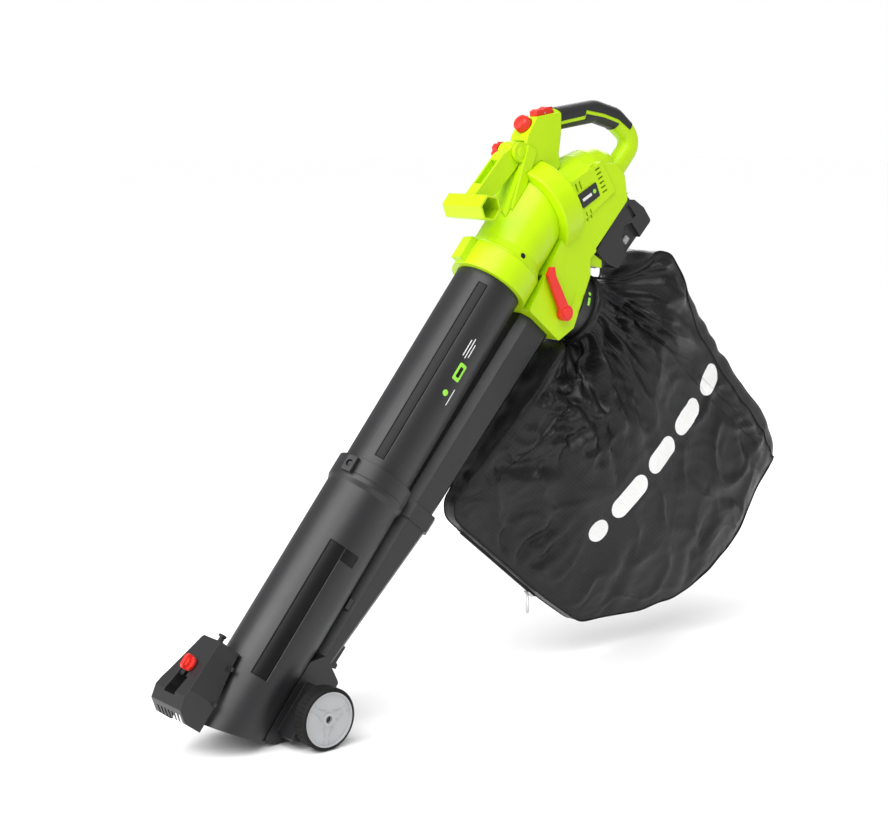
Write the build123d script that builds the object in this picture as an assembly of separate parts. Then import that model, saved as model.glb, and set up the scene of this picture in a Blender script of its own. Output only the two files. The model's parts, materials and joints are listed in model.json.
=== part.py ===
from build123d import *
import os
from math import atan2, cos, degrees, pi, sin, sqrt

# ---------------------------------------------------------------- driving dimensions (mm, degrees)
# Pieces are drawn in the tool frame: X runs up the suction tube from its mouth, Y points to the tool's
# right-hand side and Z points from the tube towards the handles. place() leans them into the stance.
LEAN = 50.5                 # suction tube above the floor when the tool stands on its wheels
MID_X = 563.3               # middle of the overall length, measured from the mouth
GAP = 0.3                   # free air between curved faces that meet
SLIP = 0.05                 # free air round a small bolt or shaft in its bore
WALL = 3.0                  # moulded wall

UPPER_R = 55.0              # suction tube, upper half
LOWER_R = 59.7              # suction tube, lower half, outside
COLLAR_R = 63.0             # joint collar at the top of the lower half
JOINT_U = 447.0             # top of the joint collar
TUBE_TOP = 803.0            # where the upper tube enters the lime collar
MOUTH_TILT = 14.9           # the mouth is cut this far off square
MOUTH_UP = 5.0              # and its middle stands this far up the tube from the frame's origin
CLEAR_FLOOR = 4.0           # nothing but the tyres comes nearer the floor
TUBE_END = 866.0            # upper end of the suction tube, inside the lime collar
JOINT_SCREW_U = 430.0       # screw that pins the two tube halves together
JOINT_SCREW_TURN = -74      # and its turn from the near side towards the handles
NECK_SCREW_U = 857.0        # screw that pins the tube in the lime collar
NECK_SCREW_TURN = -15
NECK_SCREW_SEAT = 58.5
COLLAR_OUT, NECK_R = 65.0, 58.0

AXLE_U, AXLE_W = 88.0, -71.0
TYRE_R, TREAD_R = 46.8, 41.4
WHEEL_OUT, WHEEL_WIDE = 114.6, 27.0
STUB_R = 4.0

FAN = (968.5, -8.0)         # centre of the fan casing
FAN_TILT = 23.5             # fan and motor axis, turned down from the tube axis
CASE_R, CASE_HALF = 77.0, 20.5
BARREL_DROP = -2.0

PORT = (878.0, -143.0)      # centre of the bag port face
PORT_TURN = 74.0            # bag port axis, turned down from the tube axis
STUB_PIPE_R = 46.0

LEVER = (842.0, -117.0)     # mode lever pivot
SHAFT_R = 5.0               # mode lever's shaft
CLAMP = (1000.0, 93.0)      # front handle pivot
BAR = (880.0, 107.0)        # front handle cross bar
BAR_HALF, BAR_R = 46.0, 22.0
DIAL_U, DIAL_W = 1046.0, 103.0
ROCK = (1086.0, 88.0)       # rocker switch pivot

GUARD_KNOB_U = 54.0
GUARD_FRONT_W = 103.0
GUARD_TRAVEL = 36.0
BOLT_R = 2.5                # bolt that the guard's knob turns on

PACK_U0, PACK_U1, PACK_HALF = 970.0, 1086.0, 38.0


# ---------------------------------------------------------------- helpers
def outline(points, radius=0.0):
    """Closed face in the tool's side plane, its corners rounded."""
    face = make_face(Polyline(*[(u, 0, w) for u, w in points], close=True))
    return fillet(face.vertices(), radius) if radius else face


def slab(points, half, radius=0.0):
    """Side outline made thick by half to each side of the tool's middle plane."""
    return extrude(outline(points, radius), amount=half, both=True)


def rod_x(radius, start, end, y=0.0, z=0.0):
    return Pos(start, y, z) * Rot(0, 90, 0) * Cylinder(
        radius, end - start, align=(Align.CENTER, Align.CENTER, Align.MIN))


def rod_y(radius, start, end, x=0.0, z=0.0):
    return Pos(x, start, z) * Rot(-90, 0, 0) * Cylinder(
        radius, end - start, align=(Align.CENTER, Align.CENTER, Align.MIN))


def rod_z(radius, start, end, x=0.0, y=0.0):
    return Pos(x, y, start) * Cylinder(
        radius, end - start, align=(Align.CENTER, Align.CENTER, Align.MIN))


def block(x0, x1, y0, y1, z0, z1):
    return Pos(x0, y0, z0) * Box(
        x1 - x0, y1 - y0, z1 - z0, align=(Align.MIN, Align.MIN, Align.MIN))


def both_sides(shape):
    """A shape and its twin on the other side of the middle plane."""
    return shape + mirror(shape, Plane.XZ)


def half_space(side):
    """Room to one side of the parting plane, for splitting the head's mouldings."""
    return block(600, 1300, 0.01, 300, -400, 300) if side > 0 else block(600, 1300, -300, -0.01, -400, 300)


def fan_frame(shape):
    """Moves a shape drawn round the fan axis (X along it, Z up) into the tool frame."""
    return Pos(FAN[0], 0, FAN[1]) * Rot(0, FAN_TILT, 0) * shape


def port_frame(shape):
    """Moves a shape drawn along the bag port's axis (X out of the port) into the tool frame."""
    return Pos(PORT[0], 0, PORT[1]) * Rot(0, PORT_TURN, 0) * shape


def turned(points):
    """Solid of revolution about X from (x, radius) points."""
    face = make_face(Polyline(*[(x, r, 0) for x, r in points], close=True))
    return revolve(face, Axis.X)


def pipe(outer, inner, start, end):
    return rod_x(outer, start, end) - rod_x(inner, start - 1, end + 1)


def skin_patch(inner, outer, low, high, start, end):
    """Curved plate on a tube's side: angles run from the near side up towards the handles."""
    face = make_face(Polyline((start, -outer, 0), (end, -outer, 0), (end, -inner, 0), (start, -inner, 0),
                              close=True))
    return Rot(-high, 0, 0) * revolve(face, Axis.X, revolution_arc=high - low)


def duct_face(u, top, bottom, half):
    """Eight-sided section of the blower tube at u."""
    chamfer = min(13, 0.36 * (top - bottom), 0.5 * half)
    flat = half - chamfer
    ring = [(-flat, top), (flat, top), (half, top - chamfer), (half, bottom + chamfer),
            (flat, bottom), (-flat, bottom), (-half, bottom + chamfer), (-half, top - chamfer)]
    return make_face(Polyline(*[(u, v, w) for v, w in ring], close=True))


def duct_loft(stations, inset=0.0):
    """Straight-sided loft through (u, top, bottom, half) stations."""
    faces = [duct_face(u, top - inset, bottom + inset, half - inset) for u, top, bottom, half in stations]
    return loft(faces, ruled=True)


def star(radius, depth, lobes, reach):
    """Knob head: a disc with round lobes, standing on the X-Y plane."""
    head = Cylinder(radius, reach, align=(Align.CENTER, Align.CENTER, Align.MIN))
    for turn in range(lobes):
        angle = 360 / lobes * turn
        head -= Rot(0, 0, angle) * Pos(radius + depth * 0.4, 0, 0) * Cylinder(
            depth, reach * 2.2, align=(Align.CENTER, Align.CENTER, Align.CENTER))
    return head


# ---------------------------------------------------------------- tubes
def mouth_cut():
    """Everything below the slanted mouth."""
    return Pos(MOUTH_UP, 0, 0) * Rot(0, -MOUTH_TILT, 0) * Pos(-150, 0, 0) * Box(300, 400, 400)


def floor_cut():
    """Everything nearer the floor than the tool's parts may come."""
    return Rot(0, LEAN, 0) * block(-600, 600, -200, 200, -400, CLEAR_FLOOR - lift())


def guard_boss():
    """Block on the tube that the guard's bolt screws into, with a rail to each side of it."""
    boss = block(GUARD_KNOB_U - 14, GUARD_KNOB_U + 14, -11, 11, 52, 92)
    rails = both_sides(block(14, 96, 13, 17, 52, 70))
    return boss + rails


def lower_suction_tube():
    """Lower half: plain tube that swells into the joint collar, with the guard's boss and a glossy panel."""
    body = turned([(-30, 0), (-30, LOWER_R), (JOINT_U - 42, LOWER_R), (JOINT_U - 34, COLLAR_R),
                   (JOINT_U, COLLAR_R), (JOINT_U, 0)])
    body += guard_boss()
    lug = block(JOINT_SCREW_U - 13, JOINT_SCREW_U + 13, -COLLAR_R - 9, -50, -9, 9)
    body += Rot(JOINT_SCREW_TURN, 0, 0) * lug
    body -= rod_x(LOWER_R - WALL, -40, JOINT_U - 45)
    body -= rod_x(UPPER_R + GAP / 2, JOINT_U - 46, JOINT_U + 1)
    body -= Rot(JOINT_SCREW_TURN, 0, 0) * rod_y(2.2, -90, -50, JOINT_SCREW_U)
    body -= Rot(JOINT_SCREW_TURN, 0, 0) * rod_y(5.5, -90, -COLLAR_R - 4, JOINT_SCREW_U)
    body -= rod_z(BOLT_R + 0.05, 50, 100, GUARD_KNOB_U)
    body -= skin_patch(LOWER_R - 0.9, LOWER_R + 1, 19, 45, 88, 316)
    body -= skin_patch(LOWER_R - 0.9, LOWER_R + 1, -8, 19.5, 296, 316)
    body -= skin_patch(COLLAR_R - 0.6, COLLAR_R + 1, -89, 89, JOINT_U - 26.5, JOINT_U - 25)
    return body - mouth_cut()


def upper_suction_tube():
    """Upper half: straight tube with a long sunk stripe and a short groove."""
    body = pipe(UPPER_R, UPPER_R - WALL, JOINT_U - 42, TUBE_END)
    body -= skin_patch(UPPER_R - 0.9, UPPER_R + 1, 37.5, 54.5, 461, 785)
    body -= skin_patch(UPPER_R - 0.7, UPPER_R + 1, 4.5, 7.0, 726, 768)
    body -= Rot(JOINT_SCREW_TURN, 0, 0) * rod_y(1.7, -90, -40, JOINT_SCREW_U)
    body -= Rot(NECK_SCREW_TURN, 0, 0) * rod_y(1.7, -90, -40, NECK_SCREW_U)
    return body


def tube_screws():
    """Two screws that lock the suction tube: one in the joint collar, one in the lime collar."""
    def screw(seat):
        return rod_y(4.2, -seat - 2.2, -seat) + rod_y(1.65, -seat - 0.1, -52.6)
    low = Pos(JOINT_SCREW_U, 0, 0) * Rot(JOINT_SCREW_TURN, 0, 0) * screw(COLLAR_R + 4)
    high = Pos(NECK_SCREW_U, 0, 0) * Rot(NECK_SCREW_TURN, 0, 0) * screw(NECK_SCREW_SEAT)
    return low + high


# blower tube stations: (u, top, bottom, half width)
UPPER_DUCT = [(440, -64, -125, 26), (JOINT_U, -64, -126, 26), (TUBE_TOP, -68, -139, 33),
              (TUBE_TOP + 14, -69, -138, 32.5)]
LOWER_DUCT = [(18, -63.5, -90, 24), (160, -63.5, -101, 26), (JOINT_U - 27, -64, -128, 29)]
SOCKET = [(JOINT_U - 27, -62.0, -131, 31.5), (JOINT_U + 1, -62.0, -132, 31.5)]
HOOK = [(162, -98), (208, -101), (205, -112), (178, -111), (176, -116), (169, -116), (167, -108), (160, -108)]


def upper_blower_tube():
    body = duct_loft(UPPER_DUCT) - duct_loft(UPPER_DUCT, WALL)
    body -= block(430, 439.9, -60, 60, -150, -50)
    return body - rod_x(UPPER_R + GAP, 400, TUBE_TOP) - rod_x(64.4, TUBE_TOP - 0.01, 900)


def lower_blower_tube():
    body = duct_loft(LOWER_DUCT) + duct_loft(SOCKET)
    body += both_sides(block(250, 268, 20, 24.5, -70, -61))
    body += slab(HOOK, 11)
    body -= duct_loft(LOWER_DUCT, WALL)
    body -= duct_loft([(JOINT_U - 10, -63.7, -126.4, 26.4), (JOINT_U + 2, -63.7, -126.6, 26.4)])
    body -= duct_loft([(JOINT_U - 28, -66.5, -125, 26), (JOINT_U - 9.9, -66.5, -124, 25)])
    body -= block(0, 18.2, -60, 60, -120, -50)
    body -= rod_x(COLLAR_R + GAP, JOINT_U - 44, JOINT_U + 4) + rod_x(LOWER_R + GAP, -30, JOINT_U - 40)
    return body - floor_cut()


# ---------------------------------------------------------------- wheels
def wheel_bracket():
    """Saddle under the mouth that carries the two wheel stubs and hugs the blower tube."""
    centre = slab([(20, -40), (14, -88), (24, -98), (120, -108), (150, -106), (172, -60), (150, -40)], 46, 5)
    arms = slab([(30, -52), (58, -92), (88, -96), (112, -88), (128, -52)], WHEEL_OUT - WHEEL_WIDE - 3, 6)
    hubs = rod_y(13, -WHEEL_OUT + WHEEL_WIDE + 1.5, WHEEL_OUT - WHEEL_WIDE - 1.5, AXLE_U, AXLE_W)
    body = centre + arms + hubs
    body -= rod_x(LOWER_R + GAP, -40, 300)
    grown = [(u, top + 6, bottom - GAP, half + GAP) for u, top, bottom, half in LOWER_DUCT]
    body -= duct_loft([(0, *grown[0][1:])] + grown)
    body -= duct_loft(LOWER_DUCT) + slab([(150, -90), (212, -90), (212, -125), (150, -125)], 12)
    body -= rod_y(STUB_R, -90, -34, AXLE_U, AXLE_W) + rod_y(STUB_R, 34, 90, AXLE_U, AXLE_W)
    return body - mouth_cut() - floor_cut()


def wheel_stub(side):
    """Steel stub pressed into the bracket, with a groove for its clip."""
    tip = WHEEL_OUT - 5
    stub = rod_y(STUB_R, 36, tip, AXLE_U, AXLE_W)
    stub -= rod_y(STUB_R + 1, tip - 4, tip - 3, AXLE_U, AXLE_W) - rod_y(STUB_R - 1, tip - 5, tip - 2, AXLE_U, AXLE_W)
    return stub if side > 0 else mirror(stub, Plane.XZ)


def wheel_clip(side):
    tip = WHEEL_OUT - 5
    ring = rod_y(5.2, tip - 3.9, tip - 3.1, AXLE_U, AXLE_W) - rod_y(STUB_R - 0.9, tip - 5, tip, AXLE_U, AXLE_W)
    ring -= block(AXLE_U - 1.5, AXLE_U + 1.5, 0, 130, AXLE_W - 9, AXLE_W)
    return ring if side > 0 else mirror(ring, Plane.XZ)


def at_wheel(shape, side):
    """Stands a wheel drawn round X, its outer face at x = 0, on the tool's axle line."""
    seated = Pos(AXLE_U, WHEEL_OUT, AXLE_W) * Rot(0, 0, 90) * shape
    return seated if side > 0 else mirror(seated, Plane.XZ)


def wheel_disc(side):
    """Light grey wheel: dished web, rim and three pairs of curved ribs."""
    wide = WHEEL_WIDE
    rim = turned([(-wide + 2, 0), (-wide + 2, TREAD_R - 0.1), (-0.4, TREAD_R - 0.1), (-0.4, 38.6), (-2.6, 38.2),
                  (-2.6, 0)])
    rim -= pipe(37.5, 11, -wide - 1, -6.5)
    rim += rod_x(10.5, -3, -1.2)
    ribs = pipe(30, 29, -3, -1.5)
    for turn in range(3):
        pair = Pos(0, 33, 27) * pipe(29.3, 28.4, -3, -1.5) + Pos(0, -33, 27) * pipe(29.3, 28.4, -3, -1.5)
        ribs += Rot(120 * turn, 0, 0) * (pair & block(-4, 0, -8.5, 8.5, 9, 38))
    ribs = (ribs - pipe(31, 26, -5, 0)) & rod_x(38, -4, 0)
    rim += ribs
    rim -= rod_x(STUB_R + 0.05, -wide - 1, 1)
    rim -= rod_x(5.6, -9.2, 1)
    return at_wheel(rim, side)


def tyre(side):
    """Black tyre with fine cross grooves."""
    wide = WHEEL_WIDE
    body = turned([(-wide + 0.6, TREAD_R), (-wide + 0.6, TYRE_R - 3), (-wide + 3, TYRE_R), (-3.2, TYRE_R),
                   (-0.8, TYRE_R - 2.2), (0, TYRE_R - 4), (0, TREAD_R)])
    groove = block(-wide + 2, -4.4, -0.7, 0.7, TYRE_R - 0.8, TYRE_R + 2)
    count = 40
    cuts = Compound([Rot(360 / count * turn, 0, 0) * groove for turn in range(count)])
    return at_wheel(body - cuts, side)


# ---------------------------------------------------------------- sliding guard at the mouth
def guard_form(inset):
    """Wedge-shaped cover: narrow at the top, wide and rounded at the foot."""
    foot = -24
    plan = make_face(Polyline((102 - inset, -23 + inset, 0), (102 - inset, 23 - inset, 0), (84, 26 - inset, 0),
                              (20, 39 - inset, 0), (foot, 40 - inset, 0), (foot, -40 + inset, 0),
                              (20, -39 + inset, 0), (84, -26 + inset, 0), close=True))
    tall = Pos(0, 0, 30) * extrude(plan, amount=100)
    side = slab([(104, 48), (104 - inset, GUARD_FRONT_W - 3 - inset), (98 - inset, GUARD_FRONT_W - inset),
                 (34, GUARD_FRONT_W + 10 - inset), (8, 118 - inset), (-12, 112 - inset), (-24, 92), (-22, 48)], 60)
    return tall & side


def front_guard():
    """Wedge with a long slot for its knob, a toothed foot, a finger tab and side pegs."""
    body = guard_form(0) - guard_form(WALL)
    body -= rod_x(LOWER_R + 4, -60, 140)
    body -= block(-60, 101, -42, 42, 20, 63)
    slot = block(GUARD_KNOB_U - GUARD_TRAVEL, GUARD_KNOB_U, -4.2, 4.2, 60, 140)
    slot += rod_z(4.2, 60, 140, GUARD_KNOB_U) + rod_z(4.2, 60, 140, GUARD_KNOB_U - GUARD_TRAVEL)
    pocket = slab([(GUARD_KNOB_U + 18, 109.0), (GUARD_KNOB_U + 18, 130), (4, 130), (4, 113.5)], 14, 1)
    body -= slot
    body -= Pos(0, 0, -1.6) * pocket
    for tooth in range(7):
        gap = -33 + 9.5 * tooth
        body -= block(-40, -16, gap, gap + 5, 40, 104)
    body += block(98, 114, 8, 14, 76, 82) + block(112, 116, 6, 16, 76, 84)
    body += both_sides(block(74, 80, 26, 34, 64, 68)) + both_sides(block(18, 24, 36, 43, 64, 68))
    return body


def guard_bolt():
    return rod_z(BOLT_R, 60, 116, GUARD_KNOB_U)


def guard_knob():
    """Red wing knob that pinches the guard at the chosen height."""
    head = rod_z(11, 110.2, 115, GUARD_KNOB_U)
    wing = block(GUARD_KNOB_U - 11.5, GUARD_KNOB_U + 11.5, -3, 3, 115, 125)
    wing &= rod_y(14, -10, 10, GUARD_KNOB_U, 113)
    collar = rod_z(7, 110.2, 121, GUARD_KNOB_U)
    return head + wing + collar - rod_z(BOLT_R + SLIP, 90, 116.05, GUARD_KNOB_U)


# ---------------------------------------------------------------- fan, motor and their lime housing
BASE = [(938, -50), (944, -110), (1070, -118), (1097, -86), (1100, -58), (1062, -14), (960, -14)]
BOX_HALF = 50.0             # half width of the battery box and the duct
BARREL_R = 49.0
DUCT = [(TUBE_TOP, -58), (TUBE_TOP, -141), (838, -155), (926, -130), (946, -112), (966, -116), (968, -70),
        (940, -40), (880, -50)]
DUCT_HOLLOW = [(806, -70), (806, -137), (838, -150), (924, -126), (941, -110), (941, -74), (880, -70)]


def barrel(grow):
    """Motor housing turned about the motor axis."""
    radius = BARREL_R + grow
    profile = [(CASE_HALF - 2, 0), (CASE_HALF - 2, radius), (88, radius - 1), (116, radius - 5), (142, radius - 14),
               (160, radius - 27), (168 + grow, 12), (170 + grow, 0)]
    return fan_frame(Pos(0, 0, BARREL_DROP) * turned(profile))


def side_pads():
    """Flat pads on the barrel's sides that carry the plate and the vents."""
    pad = extrude(make_face(Polyline((28, 0, 28), (110, 0, 26), (118, 0, -32), (28, 0, -42), close=True)),
                  amount=53, both=True)
    return fan_frame(pad)


def housing_outer():
    """Outside of the lime housing: fan casing, barrel, battery box, air duct, bag port and hooks."""
    case = fan_frame(rod_x(CASE_R, -CASE_HALF, CASE_HALF))
    case = fillet(case.edges().filter_by(GeomType.CIRCLE), 3)
    body = case + barrel(0)
    body += slab(BASE, BOX_HALF, 7)
    body += slab(DUCT, BOX_HALF, 5)
    body += side_pads()
    body += port_frame(rod_x(STUB_PIPE_R, -20, 26))
    body += port_frame(rod_x(52, -20, -1))
    hook = slab([(934, -108), (962, -108), (968, -148), (958, -156), (950, -140)], 34, 2)
    body += hook - block(900, 1000, -22, 22, -200, 0)
    return body


def vents():
    """Cooling slots in both sides of the barrel."""
    cuts = []
    for p in (40, 49):
        cuts.append(block(p, p + 3.2, -70, 70, 7, 21))
    for row in range(6):
        cuts.append(block(90, 101, -70, 70, 18 - 8 * row, 21 - 8 * row))
    for row in range(2):
        for col in range(2):
            cuts.append(block(42 + 10 * col, 44.6 + 10 * col, -70, 70, -38 - 9 * row, -31 - 9 * row))
    return [fan_frame(cut) for cut in cuts]


def housing_hollow():
    """Fan chamber, motor bay, battery bay and air duct."""
    body = fan_frame(rod_x(CASE_R - WALL, -CASE_HALF + WALL, CASE_HALF - WALL))
    motor = [(CASE_HALF + 2, 0), (CASE_HALF + 2, 45), (88, 44.5), (114, 40), (139, 31), (154, 18), (163, 0)]
    body += fan_frame(Pos(0, 0, BARREL_DROP) * turned(motor))
    bay = [(966, -60), (968, -106), (1067, -113), (1092, -84), (1095, -60), (1060, -20), (985, -20)]
    body += slab(bay, BOX_HALF - 4)
    body += slab(DUCT_HOLLOW, BOX_HALF - 4)
    body += port_frame(rod_x(STUB_PIPE_R - WALL, -40, 40))
    body += fan_frame(rod_x(44, -CASE_HALF - 5, 0))
    body += duct_loft([(TUBE_TOP - 5, -67.6, -139.6, 33.4), (TUBE_TOP + 15, -67.8, -139.2, 33.4)])
    return body


def housing(side):
    """One half of the lime housing, with room for the neck, the lever's shaft and the motor shaft."""
    body = housing_outer() - housing_hollow()
    for cut in vents():
        body -= cut
    neck = rod_x(COLLAR_OUT + 0.4, 700, 868) + rod_x(NECK_R + 0.4, 860, 975)
    body -= neck - fan_frame(block(-CASE_HALF, 300, -200, 200, -200, 200))
    body -= rod_y(SHAFT_R + GAP, -70, 70, *LEVER)
    body -= fan_frame(rod_x(5.5, 10, 34))
    return body & half_space(side)


def inlet_collar():
    """Lime collar and neck that join the suction tube to the fan's eye."""
    body = turned([(TUBE_TOP, 0), (TUBE_TOP, COLLAR_OUT), (850, COLLAR_OUT), (853, 62.5), (866, NECK_R),
                   (1040, NECK_R), (1040, 0)])
    body += Rot(-100, 0, 0) * block(806, 846, -76, -52, -13, 13)
    body -= fan_frame(block(-CASE_HALF - GAP, 400, -300, 300, -300, 300))
    body -= rod_x(UPPER_R + 0.15, 700, TUBE_END + 1)
    body -= rod_x(UPPER_R - WALL, TUBE_END, 1100)
    body -= skin_patch(COLLAR_OUT - 0.7, COLLAR_OUT + 1, -89, 180, 846.5, 848)
    body -= Rot(NECK_SCREW_TURN, 0, 0) * rod_y(1.9, -90, -40, NECK_SCREW_U)
    body -= Rot(NECK_SCREW_TURN, 0, 0) * rod_y(4.6, -90, -NECK_SCREW_SEAT, NECK_SCREW_U)
    return body


def impeller():
    """Closed back plate, hub and backward-swept blades."""
    body = turned([(9, 4.05), (9, 68), (11.5, 68), (11.5, 4.05)])
    body += turned([(-9, 4.05), (-9, 9), (-4, 12), (9.1, 24), (9.1, 4.05)])
    blade = block(-10, 9.2, -1.2, 1.2, 20, 66)
    blades = Compound([Rot(30 * turn, 0, 0) * Pos(0, 12, 0) * blade for turn in range(12)])
    body += blades & turned([(-9.5, 18), (-9.5, 50), (-5, 67), (9.3, 67), (9.3, 18)])
    return fan_frame(body)


def impeller_nut():
    nut = Pos(-13.6, 0, 0) * Rot(0, 90, 0) * extrude(RegularPolygon(7, 6), amount=4.4)
    return fan_frame(nut - rod_x(4.02, -20, 0))


def motor_shaft():
    return fan_frame(rod_x(4, -14, 112) + rod_x(20, 54, 98))


def motor_can():
    body = pipe(33, 31, 38, 114) + pipe(33, 9.15, 38, 40.5) + pipe(33, 9.15, 111.5, 114)
    body += both_sides(block(28.2, 40, 24, 31, -8, 8))
    body += pipe(33, 22, 56, 96)
    return fan_frame(body)


def motor_bearings():
    ring = pipe(9.1, 4.05, 38.2, 44)
    return fan_frame(ring + pipe(9.1, 4.05, 107, 112.6))


def motor_plate():
    """Plate that closes the fan chamber's back and carries the motor."""
    return fan_frame(pipe(42.4, 6.5, CASE_HALF + 2.6, 28) - both_sides(rod_x(3, 0, 40, 27, 0)))


def nameplates():
    """Plain plates on both sides of the barrel."""
    face = make_face(Polyline((38, 0, 3), (82, 0, 3), (81, 0, -21), (39, 0, -22), close=True))
    face = fillet(face.vertices(), 2)
    plate = extrude(face, amount=54.6, both=True) - block(0, 200, -53.1, 53.1, -100, 100)
    return fan_frame(plate)


def controller_board():
    return block(985, 1060, -34, 34, -96, -93.5) + block(996, 1040, -24, 24, -93.6, -84)


def battery_cradle():
    """Black shoe that the pack slides into: roof, end stop and two rails."""
    body = slab([(946, -119.5), (1088, -119.5), (1088, -124), (968, -124), (966, -156), (958, -158), (950, -140)], 20)
    body += slab([(972, -119.5), (1088, -119.5), (1088, -124), (972, -124)], 34)
    body += both_sides(block(975, 1084, 26, 34, -134, -123.5))
    return body


def battery_terminals():
    return Compound([block(969, 984, y - 1, y + 1, -131, -124.2) for y in (-12, -4, 4, 12)])


# ---------------------------------------------------------------- battery pack
PACK = [(PACK_U0, -124.6), (1076, -124.6), (1088, -140), (1092, -166), (1086, -194), (PACK_U0 + 8, -184),
        (PACK_U0, -160)]


def latch_pocket():
    """Arch-shaped finger recess in the pack's side."""
    arch = [(1008, -188), (1020, -160), (1040, -148), (1056, -160), (1050, -191)]
    return slab(arch, 60, 3)


def battery_pack():
    """Pack shell with rail slots, finger recesses and room for its cells."""
    body = slab(PACK, PACK_HALF, 5)
    body -= both_sides(block(960, 1085.5, 25.4, 34.8, -134.6, -120))
    body -= both_sides(latch_pocket() & block(900, 1200, PACK_HALF - 8, 80, -300, 0))
    slot = slab([(1066, -132), (1074, -134), (1070, -160), (1062, -158)], 60)
    body -= both_sides(slot & block(900, 1200, PACK_HALF - 4, 80, -300, 0))
    body -= block(966, 986, -16, 16, -133, -120)
    body -= Pos(1028, 0, -172) * Box(66, 52, 19)
    body -= Pos(1028, 0, -150) * Box(66, 46, 19)
    body -= both_sides(block(1021, 1034, PACK_HALF - 11, PACK_HALF - 7, -176, -166))
    return body


def battery_cells():
    """Round cells in two layers inside the pack."""
    cells = [rod_y(9, -25.5, 25.5, 1005 + 20 * n, -172) for n in range(3)]
    cells += [rod_y(9, -22.5, 22.5, 1005 + 20 * n, -150) for n in range(3)]
    return Compound(cells)


def latch_button(side):
    """Light grey ribbed push button in the pack's side recess."""
    cap = block(1021.4, 1033.6, PACK_HALF - 7.2, PACK_HALF - 3, -175.6, -166.4)
    for rib in range(3):
        cap += block(1023 + 3.6 * rib, 1024.6 + 3.6 * rib, PACK_HALF - 3.1, PACK_HALF - 2.2, -175, -167)
    return cap if side > 0 else mirror(cap, Plane.XZ)


# ---------------------------------------------------------------- handles and controls
PYLON = [(898, 55), (996, 84), (1027, 99), (1062, DIAL_W), (1102, 68), (1076, 47), (1048, 30), (1036, 14),
         (1000, 20), (905, 45)]
GRIP_PATH = [(1090, 64), (1160, 0), (1180, -42), (1182, -103), (1086, -99)]


def grip_sweep(wide, deep, path=GRIP_PATH, bend=24):
    """Rounded section carried along the grip's centre line."""
    points = [(u, 0, w) for u, w in path]
    line = FilletPolyline(*points, radius=bend)
    start = Plane(origin=points[0], z_dir=line % 0, x_dir=(0, 1, 0))
    return sweep(start * RectangleRounded(wide, deep, min(wide, deep) * 0.42), path=line)


def handle_outer():
    """Pylon over the fan casing with the front handle's shoulders and the closed grip."""
    body = slab(PYLON, 20, 4)
    body += slab([(905, 50), (1000, 86), (1016, 92), (1022, 72), (930, 44)], 24, 2)
    return body + grip_sweep(31, 34)


def handle_hollow():
    inner = [(930, 55), (980, 72), (1028, 94), (1060, 98), (1093, 69), (1071, 52), (1044, 36), (1031, 22), (1000, 28)]
    return slab(inner, 17) + grip_sweep(24, 27)


def handle(side):
    """One half of the lime handle, cut clear of the clamp, switch, dial, fan casing and neck."""
    body = handle_outer() - handle_hollow()
    body += rod_y(16, -20, 20, *CLAMP) + slab([(960, 62), (1000, 78), (1000, 72), (965, 56)], 20)
    body -= rod_y(21, -12.7, 12.7, *CLAMP)
    body -= slab([(CLAMP[0] - 60, 82), (CLAMP[0], CLAMP[1] - 18), (CLAMP[0], 130), (CLAMP[0] - 60, 140)], 12.7)
    body -= rod_y(3.1, -40, 40, *CLAMP)
    body -= rod_y(6.8, -21, -16, *CLAMP)
    body -= rocker_well()
    body -= rod_z(4.4, 80, 110, DIAL_U)
    body -= rod_z(15, DIAL_W - 2.5, 120, DIAL_U)
    body -= fan_frame(rod_x(CASE_R + GAP, -CASE_HALF - GAP, CASE_HALF + GAP))
    body -= barrel(GAP) + rod_x(NECK_R + GAP, 850, 975) + rod_x(COLLAR_OUT + GAP, 780, 853)
    body -= slab(BASE, BOX_HALF + GAP)
    return body & half_space(side)


def grip_pads(upper):
    """Soft black skin on the grip, split by a stepped lime line on each side."""
    skin = grip_sweep(33.4, 36.4) - grip_sweep(31.2, 34.2) - slab(PYLON, 20.2)
    step = [(1086, 58), (1132, 18), (1140, 22), (1162, -14), (1176, -46), (1180, -76)]
    if upper:
        edge = [(u + 2.2, w + 2.2) for u, w in step]
        mask = edge + [(1215, -76), (1215, 60), (1110, 110), (1104, 64)]
        return skin & slab(mask, 40)
    edge = [(u - 2.2, w - 2.2) for u, w in step][:5]
    mask = edge + [(1150, -52), (1130, -20), (1070, 20)]
    return skin & slab(mask, 40)


def rock_frame(shape):
    """Moves a shape drawn round the rocker's pivot (X along its face) into the tool frame."""
    slope = degrees(atan2(36, 42))
    return Pos(ROCK[0], 0, ROCK[1]) * Rot(0, slope, 0) * shape


def rocker_well():
    return rock_frame(block(-18, 18, -9.4, 9.4, -9, 30))


def rocker_switch():
    """Red rocker on top of the pylon, dished between its two ends."""
    face = make_face(Polyline((-17, 0, -5), (17, 0, -5), (17, 0, 5.5), (9, 0, 6.5), (0, 0, 4.0), (-9, 0, 5.5),
                              (-17, 0, 3.2), close=True))
    return rock_frame(extrude(face, amount=8.8, both=True) - rod_y(1.6, -20, 20, 0, -2))


def rocker_pin():
    return rock_frame(rod_y(1.55, -9.3, 9.3, 0, -2))


def microswitch():
    return rock_frame(block(-8, 8, -5, 5, -20, -10))


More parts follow.
